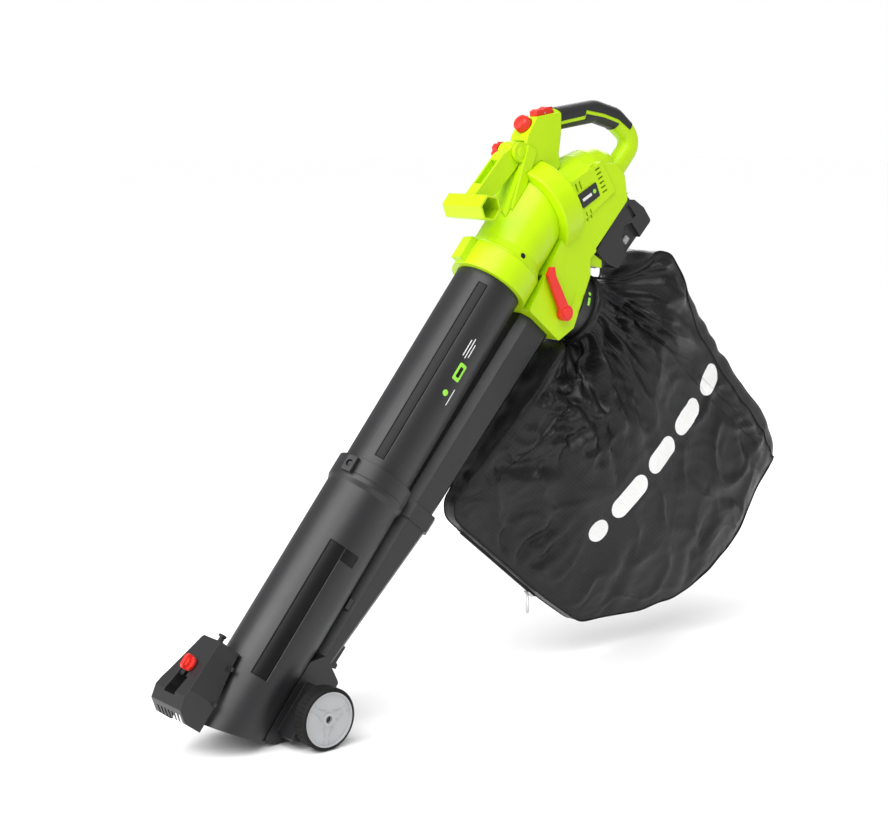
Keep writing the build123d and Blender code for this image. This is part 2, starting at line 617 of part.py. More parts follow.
def speed_dial():
    """Red knurled dial with a crowned top."""
    head = turned([(DIAL_W - 2, 0), (DIAL_W - 2, 14), (DIAL_W + 9, 14), (DIAL_W + 12.5, 11), (DIAL_W + 14, 6),
                   (DIAL_W + 14.3, 0)])
    flutes = Compound([Rot(15 * n, 0, 0) * Pos(DIAL_W, 0, 14.7) * rod_x(1.4, -5, 20) for n in range(24)])
    body = head - flutes + rod_x(3, DIAL_W - 14, DIAL_W)
    return Pos(DIAL_U, 0, 0) * Rot(0, -90, 0) * body


def potentiometer():
    return rod_z(9, 70, 86, DIAL_U) - rod_z(3.3, 84, 100, DIAL_U)


def aux_handle():
    """Front handle: arm, open six-sided cross bar and clamp eye."""
    arm = slab([(CLAMP[0] - 4, 80), (CLAMP[0] - 4, 108), (978, 116), (894, 122), (868, 118), (872, 92), (900, 92),
                (966, 82)], 12, 4)
    eye = rod_y(17, -12, 12, *CLAMP)
    bar = Pos(BAR[0], -BAR_HALF, BAR[1]) * Rot(-90, 0, 0) * extrude(RegularPolygon(BAR_R, 6), amount=2 * BAR_HALF)
    bar = fillet(bar.edges().filter_by(Axis.Y), 4)
    hole = Pos(BAR[0], -60, BAR[1]) * Rot(-90, 0, 0) * extrude(RegularPolygon(BAR_R - 4, 6), amount=120)
    arm -= slab([(916, 108), (964, 104), (966, 118), (916, 122)], 8, 2)
    body = arm + eye + bar
    return body - hole - rod_y(3.05, -40, 40, *CLAMP)


def clamp_bolt():
    head = rod_y(6.4, -19.6, -16, *CLAMP)
    return head + rod_y(3, -16.1, 34, *CLAMP)


def clamp_knob():
    """Red star knob on the far side."""
    head = star(16, 4.2, 6, 12)
    head -= rod_z(11.5, -1, 4) - rod_z(6, -1, 4)
    head += rod_z(6, -3.5, 1.5)
    knob = Pos(CLAMP[0], 24.2, CLAMP[1]) * Rot(-90, 0, 0) * head
    return knob - rod_y(3 + SLIP, 10, 34.2, *CLAMP)


# ---------------------------------------------------------------- mode lever and flap
def mode_lever():
    """Red paddle on the duct's near side."""
    arm = slab([(LEVER[0] - 8, LEVER[1] + 8), (LEVER[0] + 9, LEVER[1]), (874, -58), (883, -48), (878, -42),
                (864, -45)], 62.5, 2)
    arm &= block(700, 1000, -62.5, -55, -300, 100)
    boss = rod_y(13, -62.5, -51.2, *LEVER)
    ridge = rod_y(9, -65, -62, *LEVER)
    return arm + boss + ridge - rod_y(SHAFT_R + SLIP, -60, -40, *LEVER)


def mode_shaft():
    return rod_y(SHAFT_R, -60, 53, *LEVER)


def mode_flap():
    """Door inside the duct that turns with the lever."""
    direction = degrees(atan2(70, 35))
    leaf = block(3, 50, -43, 43, -1.5, 1.5)
    leaf += rod_y(7.5, -43, 43)
    leaf -= rod_y(SHAFT_R + SLIP, -50, 50)
    return Pos(LEVER[0], 0, LEVER[1]) * Rot(0, -direction, 0) * leaf


# ---------------------------------------------------------------- bag
def bag_collar():
    """Black ring that snaps over the port stub."""
    body = pipe(54, STUB_PIPE_R + 0.4, 1, 34) + pipe(58, STUB_PIPE_R + 0.4, 28, 38)
    body += pipe(STUB_PIPE_R + 1, STUB_PIPE_R - 5, 27, 38)
    return port_frame(body)


BAG = [(470, -176), (500, -150), (790, -152), (833, -197), (945, -165), (968, -206), (1062, -214), (1098, -262),
       (1092, -330), (1050, -500), (1040, -690), (1012, -748), (975, -772), (890, -738), (794, -742), (696, -721),
       (628, -694), (549, -618), (478, -530), (470, -420)]


BAG_HALF, BAG_SKIN = 78.0, 3.0
ZIP_TOP, ZIP_FOOT = -200.0, -415.0


def bag_form(inset):
    face = outline(BAG, 11)
    if inset:
        face = offset(face, amount=-inset)
    return extrude(face, amount=BAG_HALF - inset, both=True)


def bag():
    """Woven sack, filled out: two side panels and the band between them, open at the collar."""
    body = bag_form(0) - bag_form(BAG_SKIN)
    body -= port_frame(rod_x(42, 30, 60))
    return body - port_frame(rod_x(80, 0, 39))


def zipper_track():
    """Closed zip along the bag's foot edge."""
    return block(464.5, 469.6, -5, 5, ZIP_FOOT, ZIP_TOP)


def zipper_slider():
    return block(461.5, 464.2, -5.5, 5.5, -408, -394) + rod_y(1.2, -4, 4, 460.6, -400)


def zipper_pull():
    """Tab that hangs straight down from the slider."""
    tab = block(-32, -1.5, -4, 4, -0.8, 0.8) - rod_z(2.2, -2, 2, -26)
    return Pos(460.6, 0, -400) * Rot(0, LEAN - 90, 0) * tab


# ---------------------------------------------------------------- assembly
def pieces():
    return {
        "lower_suction_tube": lower_suction_tube(),
        "upper_suction_tube": upper_suction_tube(),
        "tube_screws": tube_screws(),
        "upper_blower_tube": upper_blower_tube(),
        "lower_blower_tube": lower_blower_tube(),
        "wheel_bracket": wheel_bracket(),
        "wheel_stub_left": wheel_stub(-1),
        "wheel_stub_right": wheel_stub(1),
        "wheel_clip_left": wheel_clip(-1),
        "wheel_clip_right": wheel_clip(1),
        "wheel_disc_left": wheel_disc(-1),
        "wheel_disc_right": wheel_disc(1),
        "tyre_left": tyre(-1),
        "tyre_right": tyre(1),
        "front_guard": front_guard(),
        "guard_bolt": guard_bolt(),
        "guard_knob": guard_knob(),
        "housing_left": housing(-1),
        "housing_right": housing(1),
        "inlet_collar": inlet_collar(),
        "impeller": impeller(),
        "impeller_nut": impeller_nut(),
        "motor_shaft": motor_shaft(),
        "motor_can": motor_can(),
        "motor_bearings": motor_bearings(),
        "motor_plate": motor_plate(),
        "nameplates": nameplates(),
        "controller_board": controller_board(),
        "battery_cradle": battery_cradle(),
        "battery_terminals": battery_terminals(),
        "battery_pack": battery_pack(),
        "battery_cells": battery_cells(),
        "latch_button_left": latch_button(-1),
        "latch_button_right": latch_button(1),
        "handle_left": handle(-1),
        "handle_right": handle(1),
        "grip_pad_upper": grip_pads(True),
        "grip_pad_lower": grip_pads(False),
        "rocker_switch": rocker_switch(),
        "rocker_pin": rocker_pin(),
        "microswitch": microswitch(),
        "speed_dial": speed_dial(),
        "potentiometer": potentiometer(),
        "aux_handle": aux_handle(),
        "clamp_bolt": clamp_bolt(),
        "clamp_knob": clamp_knob(),
        "mode_lever": mode_lever(),
        "mode_shaft": mode_shaft(),
        "mode_flap": mode_flap(),
        "bag_collar": bag_collar(),
        "bag": bag(),
        "zipper_track": zipper_track(),
        "zipper_slider": zipper_slider(),
        "zipper_pull": zipper_pull(),
    }


def lift():
    """Height of the mouth's centre above the floor the wheels stand on."""
    angle = LEAN * pi / 180
    return TYRE_R - (AXLE_U * sin(angle) + AXLE_W * cos(angle))


def place(shape):
    """Leans a piece into the tool's stance, wheels on the floor, middle of the length over the origin."""
    return Pos(-MID_X, 0, lift()) * Rot(0, -LEAN, 0) * shape


def main():
    os.makedirs("parts", exist_ok=True)
    for name, shape in pieces().items():
        export_step(place(shape), "parts/" + name + ".step")


if __name__ == "__main__":
    main()
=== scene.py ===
"""Looks of a cordless leaf blower and vacuum with a collecting bag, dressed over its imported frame.

Pieces are worked out in the tool's own frame, in millimetres: u runs up the suction tube from its mouth, v from
the near side to the far side and w from the tube towards the handles. Stance.points leans them into the frame
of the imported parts, in metres.
"""
import json
import logging
import math
from dataclasses import dataclass, field
from enum import Enum
from typing import Any, Iterable

import bmesh
import bpy
import numpy as np
from mathutils import Matrix, Vector


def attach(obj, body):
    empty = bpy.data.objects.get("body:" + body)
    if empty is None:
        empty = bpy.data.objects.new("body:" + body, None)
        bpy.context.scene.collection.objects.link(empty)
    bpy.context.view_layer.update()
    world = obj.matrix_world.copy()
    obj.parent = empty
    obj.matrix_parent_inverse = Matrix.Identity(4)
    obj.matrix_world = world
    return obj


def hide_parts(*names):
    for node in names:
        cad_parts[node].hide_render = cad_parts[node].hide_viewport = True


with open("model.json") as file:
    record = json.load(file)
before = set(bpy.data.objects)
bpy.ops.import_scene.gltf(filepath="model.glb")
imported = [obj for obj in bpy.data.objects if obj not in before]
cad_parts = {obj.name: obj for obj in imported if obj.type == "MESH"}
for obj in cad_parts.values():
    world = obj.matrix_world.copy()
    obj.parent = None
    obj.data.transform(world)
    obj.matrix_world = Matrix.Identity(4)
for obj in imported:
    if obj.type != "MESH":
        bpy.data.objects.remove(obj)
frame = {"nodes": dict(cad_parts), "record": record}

log = logging.getLogger("leaf_blower")
Colour = tuple[float, float, float]
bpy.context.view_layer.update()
INK = 0.0001                # thickness of a printed mark, in metres


# ------------------------------------------------------------------------------ shader maths
class Wire:
    """One shader socket that takes part in Python arithmetic; each operation adds a Math node."""

    def __init__(self, bench: "Bench", socket: bpy.types.NodeSocket) -> None:
        """Keeps the socket and the bench that owns its tree."""
        self.bench = bench
        self.socket = socket

    def _math(self, operation: str, first: Any, second: Any = 0.0, clamp: bool = False) -> "Wire":
        """Adds a Math node.

        Args:
            operation: the Math node's operation.
            first: a Wire or a number.
            second: a Wire or a number.
            clamp: hold the result between 0 and 1.
        Returns:
            The node's output as a Wire.
        """
        return self.bench.node("ShaderNodeMath", {"operation": operation, "use_clamp": clamp},
                               {0: first, 1: second})

    def __add__(self, other: Any) -> "Wire":
        """self + other."""
        return self._math("ADD", self, other)

    def __sub__(self, other: Any) -> "Wire":
        """self - other."""
        return self._math("SUBTRACT", self, other)

    def __rsub__(self, other: Any) -> "Wire":
        """other - self."""
        return self._math("SUBTRACT", other, self)

    def __mul__(self, other: Any) -> "Wire":
        """self * other."""
        return self._math("MULTIPLY", self, other)

    __radd__ = __add__
    __rmul__ = __mul__

    def above(self, level: Any) -> "Wire":
        """1 where self is greater than level, else 0."""
        return self._math("GREATER_THAN", self, level)

    def clamp(self) -> "Wire":
        """self held between 0 and 1."""
        return self._math("ADD", self, 0.0, True)

    def sine(self) -> "Wire":
        """Sine of self, in radians."""
        return self._math("SINE", self)

    def least(self, other: Any) -> "Wire":
        """The smaller of self and other."""
        return self._math("MINIMUM", self, other)

    def most(self, other: Any) -> "Wire":
        """The larger of self and other."""
        return self._math("MAXIMUM", self, other)


class Bench:
    """The node tree of a material or of the world, with one method that adds any node."""

    def __init__(self, owner: bpy.types.Material | bpy.types.World) -> None:
        """Empties the tree of a new material or world."""
        self.owner = owner
        owner.use_nodes = True
        self.tree = owner.node_tree
        self.tree.nodes.clear()

    @classmethod
    def material(cls, name: str) -> "Bench":
        """Bench of a new material of that name."""
        return cls(bpy.data.materials.new(name))

    def node(self, kind: str, settings: dict[str, Any] | None = None, values: dict[Any, Any] | None = None,
             out: Any = 0) -> Wire:
        """Adds a node, sets its settings and then its sockets.

        Args:
            kind: the node's type name.
            settings: properties set before the sockets.
            values: socket name or number to a Wire, a number or a colour.
            out: name or number of the output wanted.
        Returns:
            That output as a Wire.
        """
        made = self.tree.nodes.new(kind)
        for key, value in (settings or {}).items():
            setattr(made, key, value)
        for key, value in (values or {}).items():
            socket = made.inputs[key]
            if isinstance(value, Wire):
                self.tree.links.new(value.socket, socket)
            elif isinstance(value, tuple) and socket.type == "RGBA":
                socket.default_value = (*value, 1.0)
            else:
                socket.default_value = value
        return Wire(self, made.outputs[out])

    def place(self) -> Wire:
        """Object coordinates."""
        return self.node("ShaderNodeTexCoord", out="Object")

    def noise(self, where: Wire, scale: float, detail: float = 3.0, rough: float = 0.55) -> Wire:
        """Noise from 0 to 1 with that many bumps to the metre."""
        return self.node("ShaderNodeTexNoise", {}, {"Vector": where, "Scale": scale, "Detail": detail,
                                                     "Roughness": rough}, "Fac")

    def mix(self, share: Any, first: Any, second: Any) -> Wire:
        """Colour between first and second."""
        return self.node("ShaderNodeMix", {"data_type": "RGBA", "clamp_factor": True},
                         {0: share, 6: first, 7: second}, 2)

    def stretched(self, where: Wire, scale: tuple[float, float, float],
                  turn: tuple[float, float, float] = (0.0, 0.0, 0.0)) -> Wire:
        """Coordinates turned and stretched by a Mapping node."""
        return self.node("ShaderNodeMapping", {}, {"Vector": where, "Scale": scale, "Rotation": turn})

    def split(self, where: Wire) -> tuple[Wire, Wire, Wire]:
        """The three parts of a vector."""
        made = self.node("ShaderNodeSeparateXYZ", {}, {0: where})
        outputs = made.socket.node.outputs
        return Wire(self, outputs[0]), Wire(self, outputs[1]), Wire(self, outputs[2])

    def rounded(self, radius: float) -> tuple[Wire, Wire]:
        """Softened normal along sharp edges.

        Args:
            radius: radius of the soft edge in metres.
        Returns:
            The normal, and how near an edge the point is, from 0 to 1.
        """
        soft = self.node("ShaderNodeBevel", {"samples": 6}, {"Radius": radius})
        true = self.node("ShaderNodeNewGeometry", out="Normal")
        along = self.node("ShaderNodeVectorMath", {"operation": "DOT_PRODUCT"}, {0: soft, 1: true}, "Value")
        return soft, ((1.0 - along) * 5.0).clamp()

    def bump(self, height: Wire, strength: float, distance: float, normal: Wire | None = None) -> Wire:
        """Normal tilted by a height, over another normal if one is given.

        Args:
            height: the height, in units of distance.
            strength: share of the tilt that is used.
            distance: metres to one unit of height.
            normal: the normal underneath.
        Returns:
            The new normal.
        """
        under = {} if normal is None else {"Normal": normal}
        return self.node("ShaderNodeBump", {},
                         {"Strength": strength, "Distance": distance, "Height": height, **under})

    def close(self, shader: Wire, output: str) -> None:
        """Joins a shader to an output node of that kind."""
        self.tree.links.new(shader.socket, self.tree.nodes.new(output).inputs[0])

    def finish(self, values: dict[Any, Any]) -> bpy.types.Material:
        """Closes a material with a Principled shader of those values and returns it."""
        self.close(self.node("ShaderNodeBsdfPrincipled", {}, values), "ShaderNodeOutputMaterial")
        return self.owner


# ------------------------------------------------------------------------------ finishes
@dataclass(frozen=True)
class Moulded:
    """Moulded plastic or rubber: fine spark grain, slow colour drift, faint scratches, paler worn edges."""

    name: str
    colour: Colour
    drift: Colour
    worn: Colour
    roughness: float = 0.4
    grain: float = 1400.0
    relief: float = 0.00003
    edge: float = 0.0016
    wear: float = 0.3
    specular: float = 0.5

    def make(self) -> bpy.types.Material:
        """Builds the material."""
        bench = Bench.material(self.name)
        where = bench.place()
        soft, near_edge = bench.rounded(self.edge)
        slow = bench.noise(where, 9.0, 4.0)
        mid = bench.noise(where, 70.0, 3.0)
        fine = bench.noise(where, self.grain, 2.0)
        scratch = bench.noise(bench.stretched(where, (900.0, 60.0, 160.0), (0.3, 0.8, 0.2)), 1.0, 2.0)
        body = bench.mix(((slow - 0.35) * 2.2).clamp(), self.colour, self.drift)
        patchy = ((mid - 0.42) * 4.0).clamp()
        body = bench.mix(near_edge * patchy * self.wear, body, self.worn)
        rough = slow * 0.10 + mid * 0.06 + fine * 0.05 + (self.roughness - 0.105)
        height = fine * 1.0 + mid * 0.8 + scratch * 0.15
        normal = bench.bump(height, 0.7, self.relief, soft)
        return bench.finish({"Base Color": body, "Roughness": rough, "Normal": normal,
                             "Specular IOR Level": self.specular})


@dataclass(frozen=True)
class Metal:
    """Machined or plated metal with turning marks and a few dull patches."""

    name: str
    colour: Colour
    dull: Colour
    roughness: float = 0.3
    marks: tuple[float, float, float] = (90.0, 2200.0, 90.0)

    def make(self) -> bpy.types.Material:
        """Builds the material."""
        bench = Bench.material(self.name)
        where = bench.place()
        soft, near_edge = bench.rounded(0.0004)
        lines = bench.noise(bench.stretched(where, self.marks), 1.0, 2.0)
        patch = bench.noise(where, 160.0, 3.0)
        body = bench.mix(((patch - 0.4) * 2.5).clamp(), self.colour, self.dull)
        rough = lines * 0.18 + patch * 0.12 + (self.roughness - 0.15) - near_edge * 0.08
        normal = bench.bump(lines, 0.4, 0.00002, soft)
        return bench.finish({"Base Color": body, "Roughness": rough, "Metallic": 1.0, "Normal": normal})


@dataclass(frozen=True)
class Laminate:
    """Circuit board: green solder mask over copper runs."""

    name: str = "board"
    mask: Colour = (0.015, 0.11, 0.04)
    copper: Colour = (0.03, 0.20, 0.07)
    flux: Colour = (0.01, 0.06, 0.03)

    def make(self) -> bpy.types.Material:
        """Builds the material."""
        bench = Bench.material(self.name)
        x, y, _ = bench.split(bench.place())
        runs = (x * 2400.0).sine().most((y * 1900.0).sine()).above(0.8)
        cloud = bench.noise(bench.place(), 120.0)
        body = bench.mix(runs, self.mask, self.copper)
        return bench.finish({"Base Color": bench.mix(cloud * 0.3, body, self.flux),
                             "Roughness": cloud * 0.2 + 0.3, "Normal": bench.bump(runs, 0.5, 0.00005)})


@dataclass(frozen=True)
class Print:
    """Printed mark: dense ink, slightly mottled, over the moulding's faint grain."""

    name: str
    colour: Colour
    worn: Colour
    roughness: float = 0.5

    def make(self) -> bpy.types.Material:
        """Builds the material."""
        bench = Bench.material(self.name)
        where = bench.place()
        blotch = bench.noise(where, 260.0, 4.0)
        body = bench.mix(((blotch - 0.5) * 2.0).clamp(), self.colour, self.worn)
        normal = bench.bump(bench.noise(where, 1600.0), 0.4, 0.00003)
        return bench.finish({"Base Color": body, "Roughness": blotch * 0.15 + (self.roughness - 0.07),
                             "Normal": normal})


@dataclass(frozen=True)
class Cloth:
    """Black coated nylon: crossed threads, a coarser rip-stop check, small creases and a row of white bars."""

    name: str = "bag_cloth"
    thread: Colour = (0.0050, 0.0050, 0.0058)
    pale: Colour = (0.0110, 0.0110, 0.0122)
    cord: Colour = (0.03, 0.03, 0.032)
    ink: Colour = (0.86, 0.86, 0.85)
    pitch: float = 0.0011
    check: float = 0.0062
    rough: float = 0.37
    start: tuple[float, float] = (0.590, -0.417)
    stop: tuple[float, float] = (0.980, -0.470)
    bars: tuple[tuple[float, float], ...] = (
        (0.0, 0.10), (0.14, 0.36), (0.395, 0.58), (0.615, 0.80), (0.845, 1.0))
    half: float = 0.0185

    def bar(self, u: Wire, w: Wire, along: tuple[float, float]) -> Wire:
        """Round-ended bar on the print's line.

        Args:
            u: first cloth coordinate in metres.
            w: second cloth coordinate in metres.
            along: where the bar starts and stops, as shares of the line's length.
        Returns:
            1 where the point is nearer the bar's middle line than half its width, else 0.
        """
        length = math.dist(self.start, self.stop)
        du, dw = (self.stop[0] - self.start[0]) / length, (self.stop[1] - self.start[1]) / length
        run = (u - self.start[0]) * du + (w - self.start[1]) * dw
        off = (w - self.start[1]) * du - (u - self.start[0]) * dw
        first, last = along[0] * length + self.half, along[1] * length - self.half
        beyond = run - run.most(first).least(last)
        return 1.0 - (beyond * beyond + off * off).above(self.half ** 2)

    def make(self) -> bpy.types.Material:
        """Builds the material."""
        bench = Bench.material(self.name)
        cloth = bench.node("ShaderNodeUVMap", {"uv_map": "cloth"})
        u, w, _ = bench.split(cloth)
        weft = (u * (2 * math.pi / self.pitch)).sine()
        warp = (w * (2 * math.pi / self.pitch)).sine()
        threads = weft * warp * 0.5 + 0.5
        rows = (u * (2 * math.pi / self.check)).sine().most((w * (2 * math.pi / self.check)).sine())
        rib = ((rows - 0.86) * 8.0).clamp()
        where = bench.place()
        cloud = bench.noise(where, 16.0, 5.0)
        slub = bench.noise(bench.stretched(where, (700.0, 700.0, 120.0)), 1.0, 2.0)
        body = bench.mix(((cloud - 0.4) * 1.8).clamp(), self.thread, self.pale)
        body = bench.mix(rib * 0.25, body, self.cord)
        height = threads * 0.6 + rib * 0.9 + slub * 0.5
        rough = cloud * 0.12 + slub * 0.10 + (self.rough - 0.10)
        if self.bars:
            near = bench.node("ShaderNodeAttribute",
                              {"attribute_type": "GEOMETRY", "attribute_name": "near_side"}, out="Fac")
            inked = self.bar(u, w, self.bars[0])
            for along in self.bars[1:]:
                inked = inked.most(self.bar(u, w, along))
            speck = ((bench.noise(where, 900.0, 2.0) - 0.33) * 9.0).clamp()
            inked = inked * near.above(0.5) * (speck * 0.3 + 0.7)
            body = bench.mix(inked, body, self.ink)
            rough = rough + inked * 0.08
        crumple = bench.noise(where, 55.0, 4.0, 0.6)
        normal = bench.bump(crumple, 0.45, 0.0016, bench.bump(height, 0.55, 0.00014))
        return bench.finish({"Base Color": body, "Roughness": rough, "Normal": normal,
                             "Specular IOR Level": 0.3, "Sheen Weight": 0.02, "Sheen Roughness": 0.4})


class Slot(Enum):
    """The record's material slots."""

    LIME = "lime_plastic"
    BLACK = "black_plastic"
    PACK = "pack_plastic"
    RED = "red_plastic"
    WHEEL = "wheel_plastic"
    LATCH = "latch_plastic"
    TYRE = "tyre_rubber"
    GRIP = "grip_rubber"
    STEEL = "steel"
    INNER = "inner_metal"
    BOARD = "board"
    BRASS = "brass"
    PLATE = "plate"
    FABRIC = "bag_fabric"


class Mark(Enum):
    """Finishes that no slot of the record has."""

    WHITE = "white_ink"
    GREEN = "green_ink"
    GLOSS = "gloss_black"
    # dark metal for the screws, wheel stubs and clips: painted shade of the holes they sit in
    OXIDE = "black_oxide"
    PIPING = "bag_piping"


FINISHES: dict[Enum, Any] = {
    Slot.LIME: Moulded(
        "lime_plastic", (0.480, 0.730, 0.0012), (0.425, 0.680, 0.0012), (0.62, 0.82, 0.04),
        roughness=0.37, grain=1500.0, relief=0.000022, edge=0.0020, specular=0.28),
    Slot.BLACK: Moulded(
        "black_plastic", (0.014, 0.014, 0.0155), (0.010, 0.010, 0.011), (0.07, 0.07, 0.075),
        roughness=0.42, grain=1300.0, relief=0.00004),
    Slot.PACK: Moulded(
        "pack_plastic", (0.018, 0.018, 0.020), (0.013, 0.013, 0.0145), (0.08, 0.08, 0.085),
        roughness=0.45, grain=1100.0, relief=0.00004, edge=0.0018),
    Slot.RED: Moulded(
        "red_plastic", (0.80, 0.022, 0.012), (0.70, 0.016, 0.010), (0.9, 0.16, 0.12),
        roughness=0.34, grain=1500.0, relief=0.00002, edge=0.0014),
    Slot.WHEEL: Moulded(
        "wheel_plastic", (0.43, 0.44, 0.45), (0.37, 0.38, 0.39), (0.62, 0.63, 0.64),
        roughness=0.42, grain=1300.0, edge=0.0008),
    Slot.LATCH: Moulded(
        "latch_plastic", (0.40, 0.40, 0.41), (0.33, 0.33, 0.34), (0.6, 0.6, 0.6),
        roughness=0.45, edge=0.0004, wear=0.25),
    Slot.TYRE: Moulded(
        "tyre_rubber", (0.006, 0.006, 0.0065), (0.010, 0.0095, 0.009), (0.04, 0.038, 0.035),
        roughness=0.66, grain=900.0, relief=0.00008, edge=0.0010, wear=0.4, specular=0.2),
    Slot.GRIP: Moulded(
        "grip_rubber", (0.018, 0.018, 0.019), (0.012, 0.012, 0.013), (0.06, 0.06, 0.062),
        roughness=0.58, grain=800.0, relief=0.00009, edge=0.0014, specular=0.4),
    Slot.STEEL: Metal("steel", (0.62, 0.62, 0.63), (0.45, 0.45, 0.46)),
    Slot.INNER: Metal("inner_metal", (0.50, 0.50, 0.51), (0.36, 0.36, 0.38), roughness=0.4),
    Slot.BOARD: Laminate(),
    Slot.BRASS: Metal("brass", (0.78, 0.56, 0.22), (0.55, 0.38, 0.16), roughness=0.28),
    Slot.PLATE: Moulded(
        "plate", (0.012, 0.012, 0.013), (0.016, 0.016, 0.017), (0.05, 0.05, 0.05),
        roughness=0.22, grain=1500.0, relief=0.00001, edge=0.0006, wear=0.15),
    Slot.FABRIC: Cloth(),
    Mark.WHITE: Print("white_ink", (0.80, 0.80, 0.80), (0.62, 0.62, 0.62)),
    Mark.GREEN: Print("green_ink", (0.30, 0.72, 0.05), (0.22, 0.60, 0.04)),
    Mark.GLOSS: Moulded(
        "gloss_black", (0.003, 0.003, 0.0035), (0.005, 0.005, 0.0055), (0.03, 0.03, 0.03),
        roughness=0.36, grain=1500.0, relief=0.000006, edge=0.0005, wear=0.1, specular=0.22),
    # dark metal: painted shade of the screw holes and the wheel hub holes
    Mark.OXIDE: Metal("black_oxide", (0.055, 0.055, 0.06), (0.03, 0.03, 0.032), roughness=0.35),
    Mark.PIPING: Cloth(
        "bag_piping", (0.005, 0.005, 0.0055), (0.010, 0.010, 0.011),
        pitch=0.0016, check=0.02, rough=0.75, bars=()),
}


@dataclass
class Palette:
    """Builds each finish once and hands it out."""

    made: dict[Enum, bpy.types.Material] = field(default_factory=dict)

    def get(self, finish: Enum) -> bpy.types.Material:
        """The material of that finish."""
        if finish not in self.made:
            self.made[finish] = FINISHES[finish].make()
        return self.made[finish]


# ------------------------------------------------------------------------------ frames of reference
@dataclass(frozen=True)
class Stance:
    """How the tool leans on its wheels, and the frames of its head."""

    lean: float = math.radians(50.5)
    middle: float = 563.3
    axle: tuple[float, float] = (88.0, -71.0)
    tyre: float = 46.8
    fan: tuple[float, float] = (968.5, -8.0)
    fan_tilt: float = math.radians(23.5)
    port: tuple[float, float] = (878.0, -143.0)
    port_turn: float = math.radians(74.0)

    def points(self, tool: np.ndarray) -> np.ndarray:
        """Tool-frame points in millimetres as row-frame points in metres: a turn about Y, a lift and a shift.

        Args:
            tool: array whose last axis is (u, v, w).
        Returns:
            Array of the same shape.
        """
        c, s = math.cos(self.lean), math.sin(self.lean)
        lift = self.tyre - (self.axle[0] * s + self.axle[1] * c)
        u, v, w = tool[..., 0], tool[..., 1], tool[..., 2]
        return np.stack((c * u - s * w - self.middle, v, s * u + c * w + lift), axis=-1) * 0.001

    def from_fan(self, local: np.ndarray) -> np.ndarray:
        """Fan-frame points (along the axis, v, up from it) in the tool frame."""
        c, s = math.cos(self.fan_tilt), math.sin(self.fan_tilt)
        p, v, q = local[..., 0], local[..., 1], local[..., 2]
        return np.stack((self.fan[0] + c * p + s * q, v, self.fan[1] - s * p + c * q), axis=-1)

    def from_port(self, local: np.ndarray) -> np.ndarray:
        """Port-frame points (out of the port, v, across it) in the tool frame."""
        c, s = math.cos(self.port_turn), math.sin(self.port_turn)
        x, v, e = local[..., 0], local[..., 1], local[..., 2]
        return np.stack((self.port[0] + c * x + s * e, v, self.port[1] - s * x + c * e), axis=-1)


STANCE = Stance()


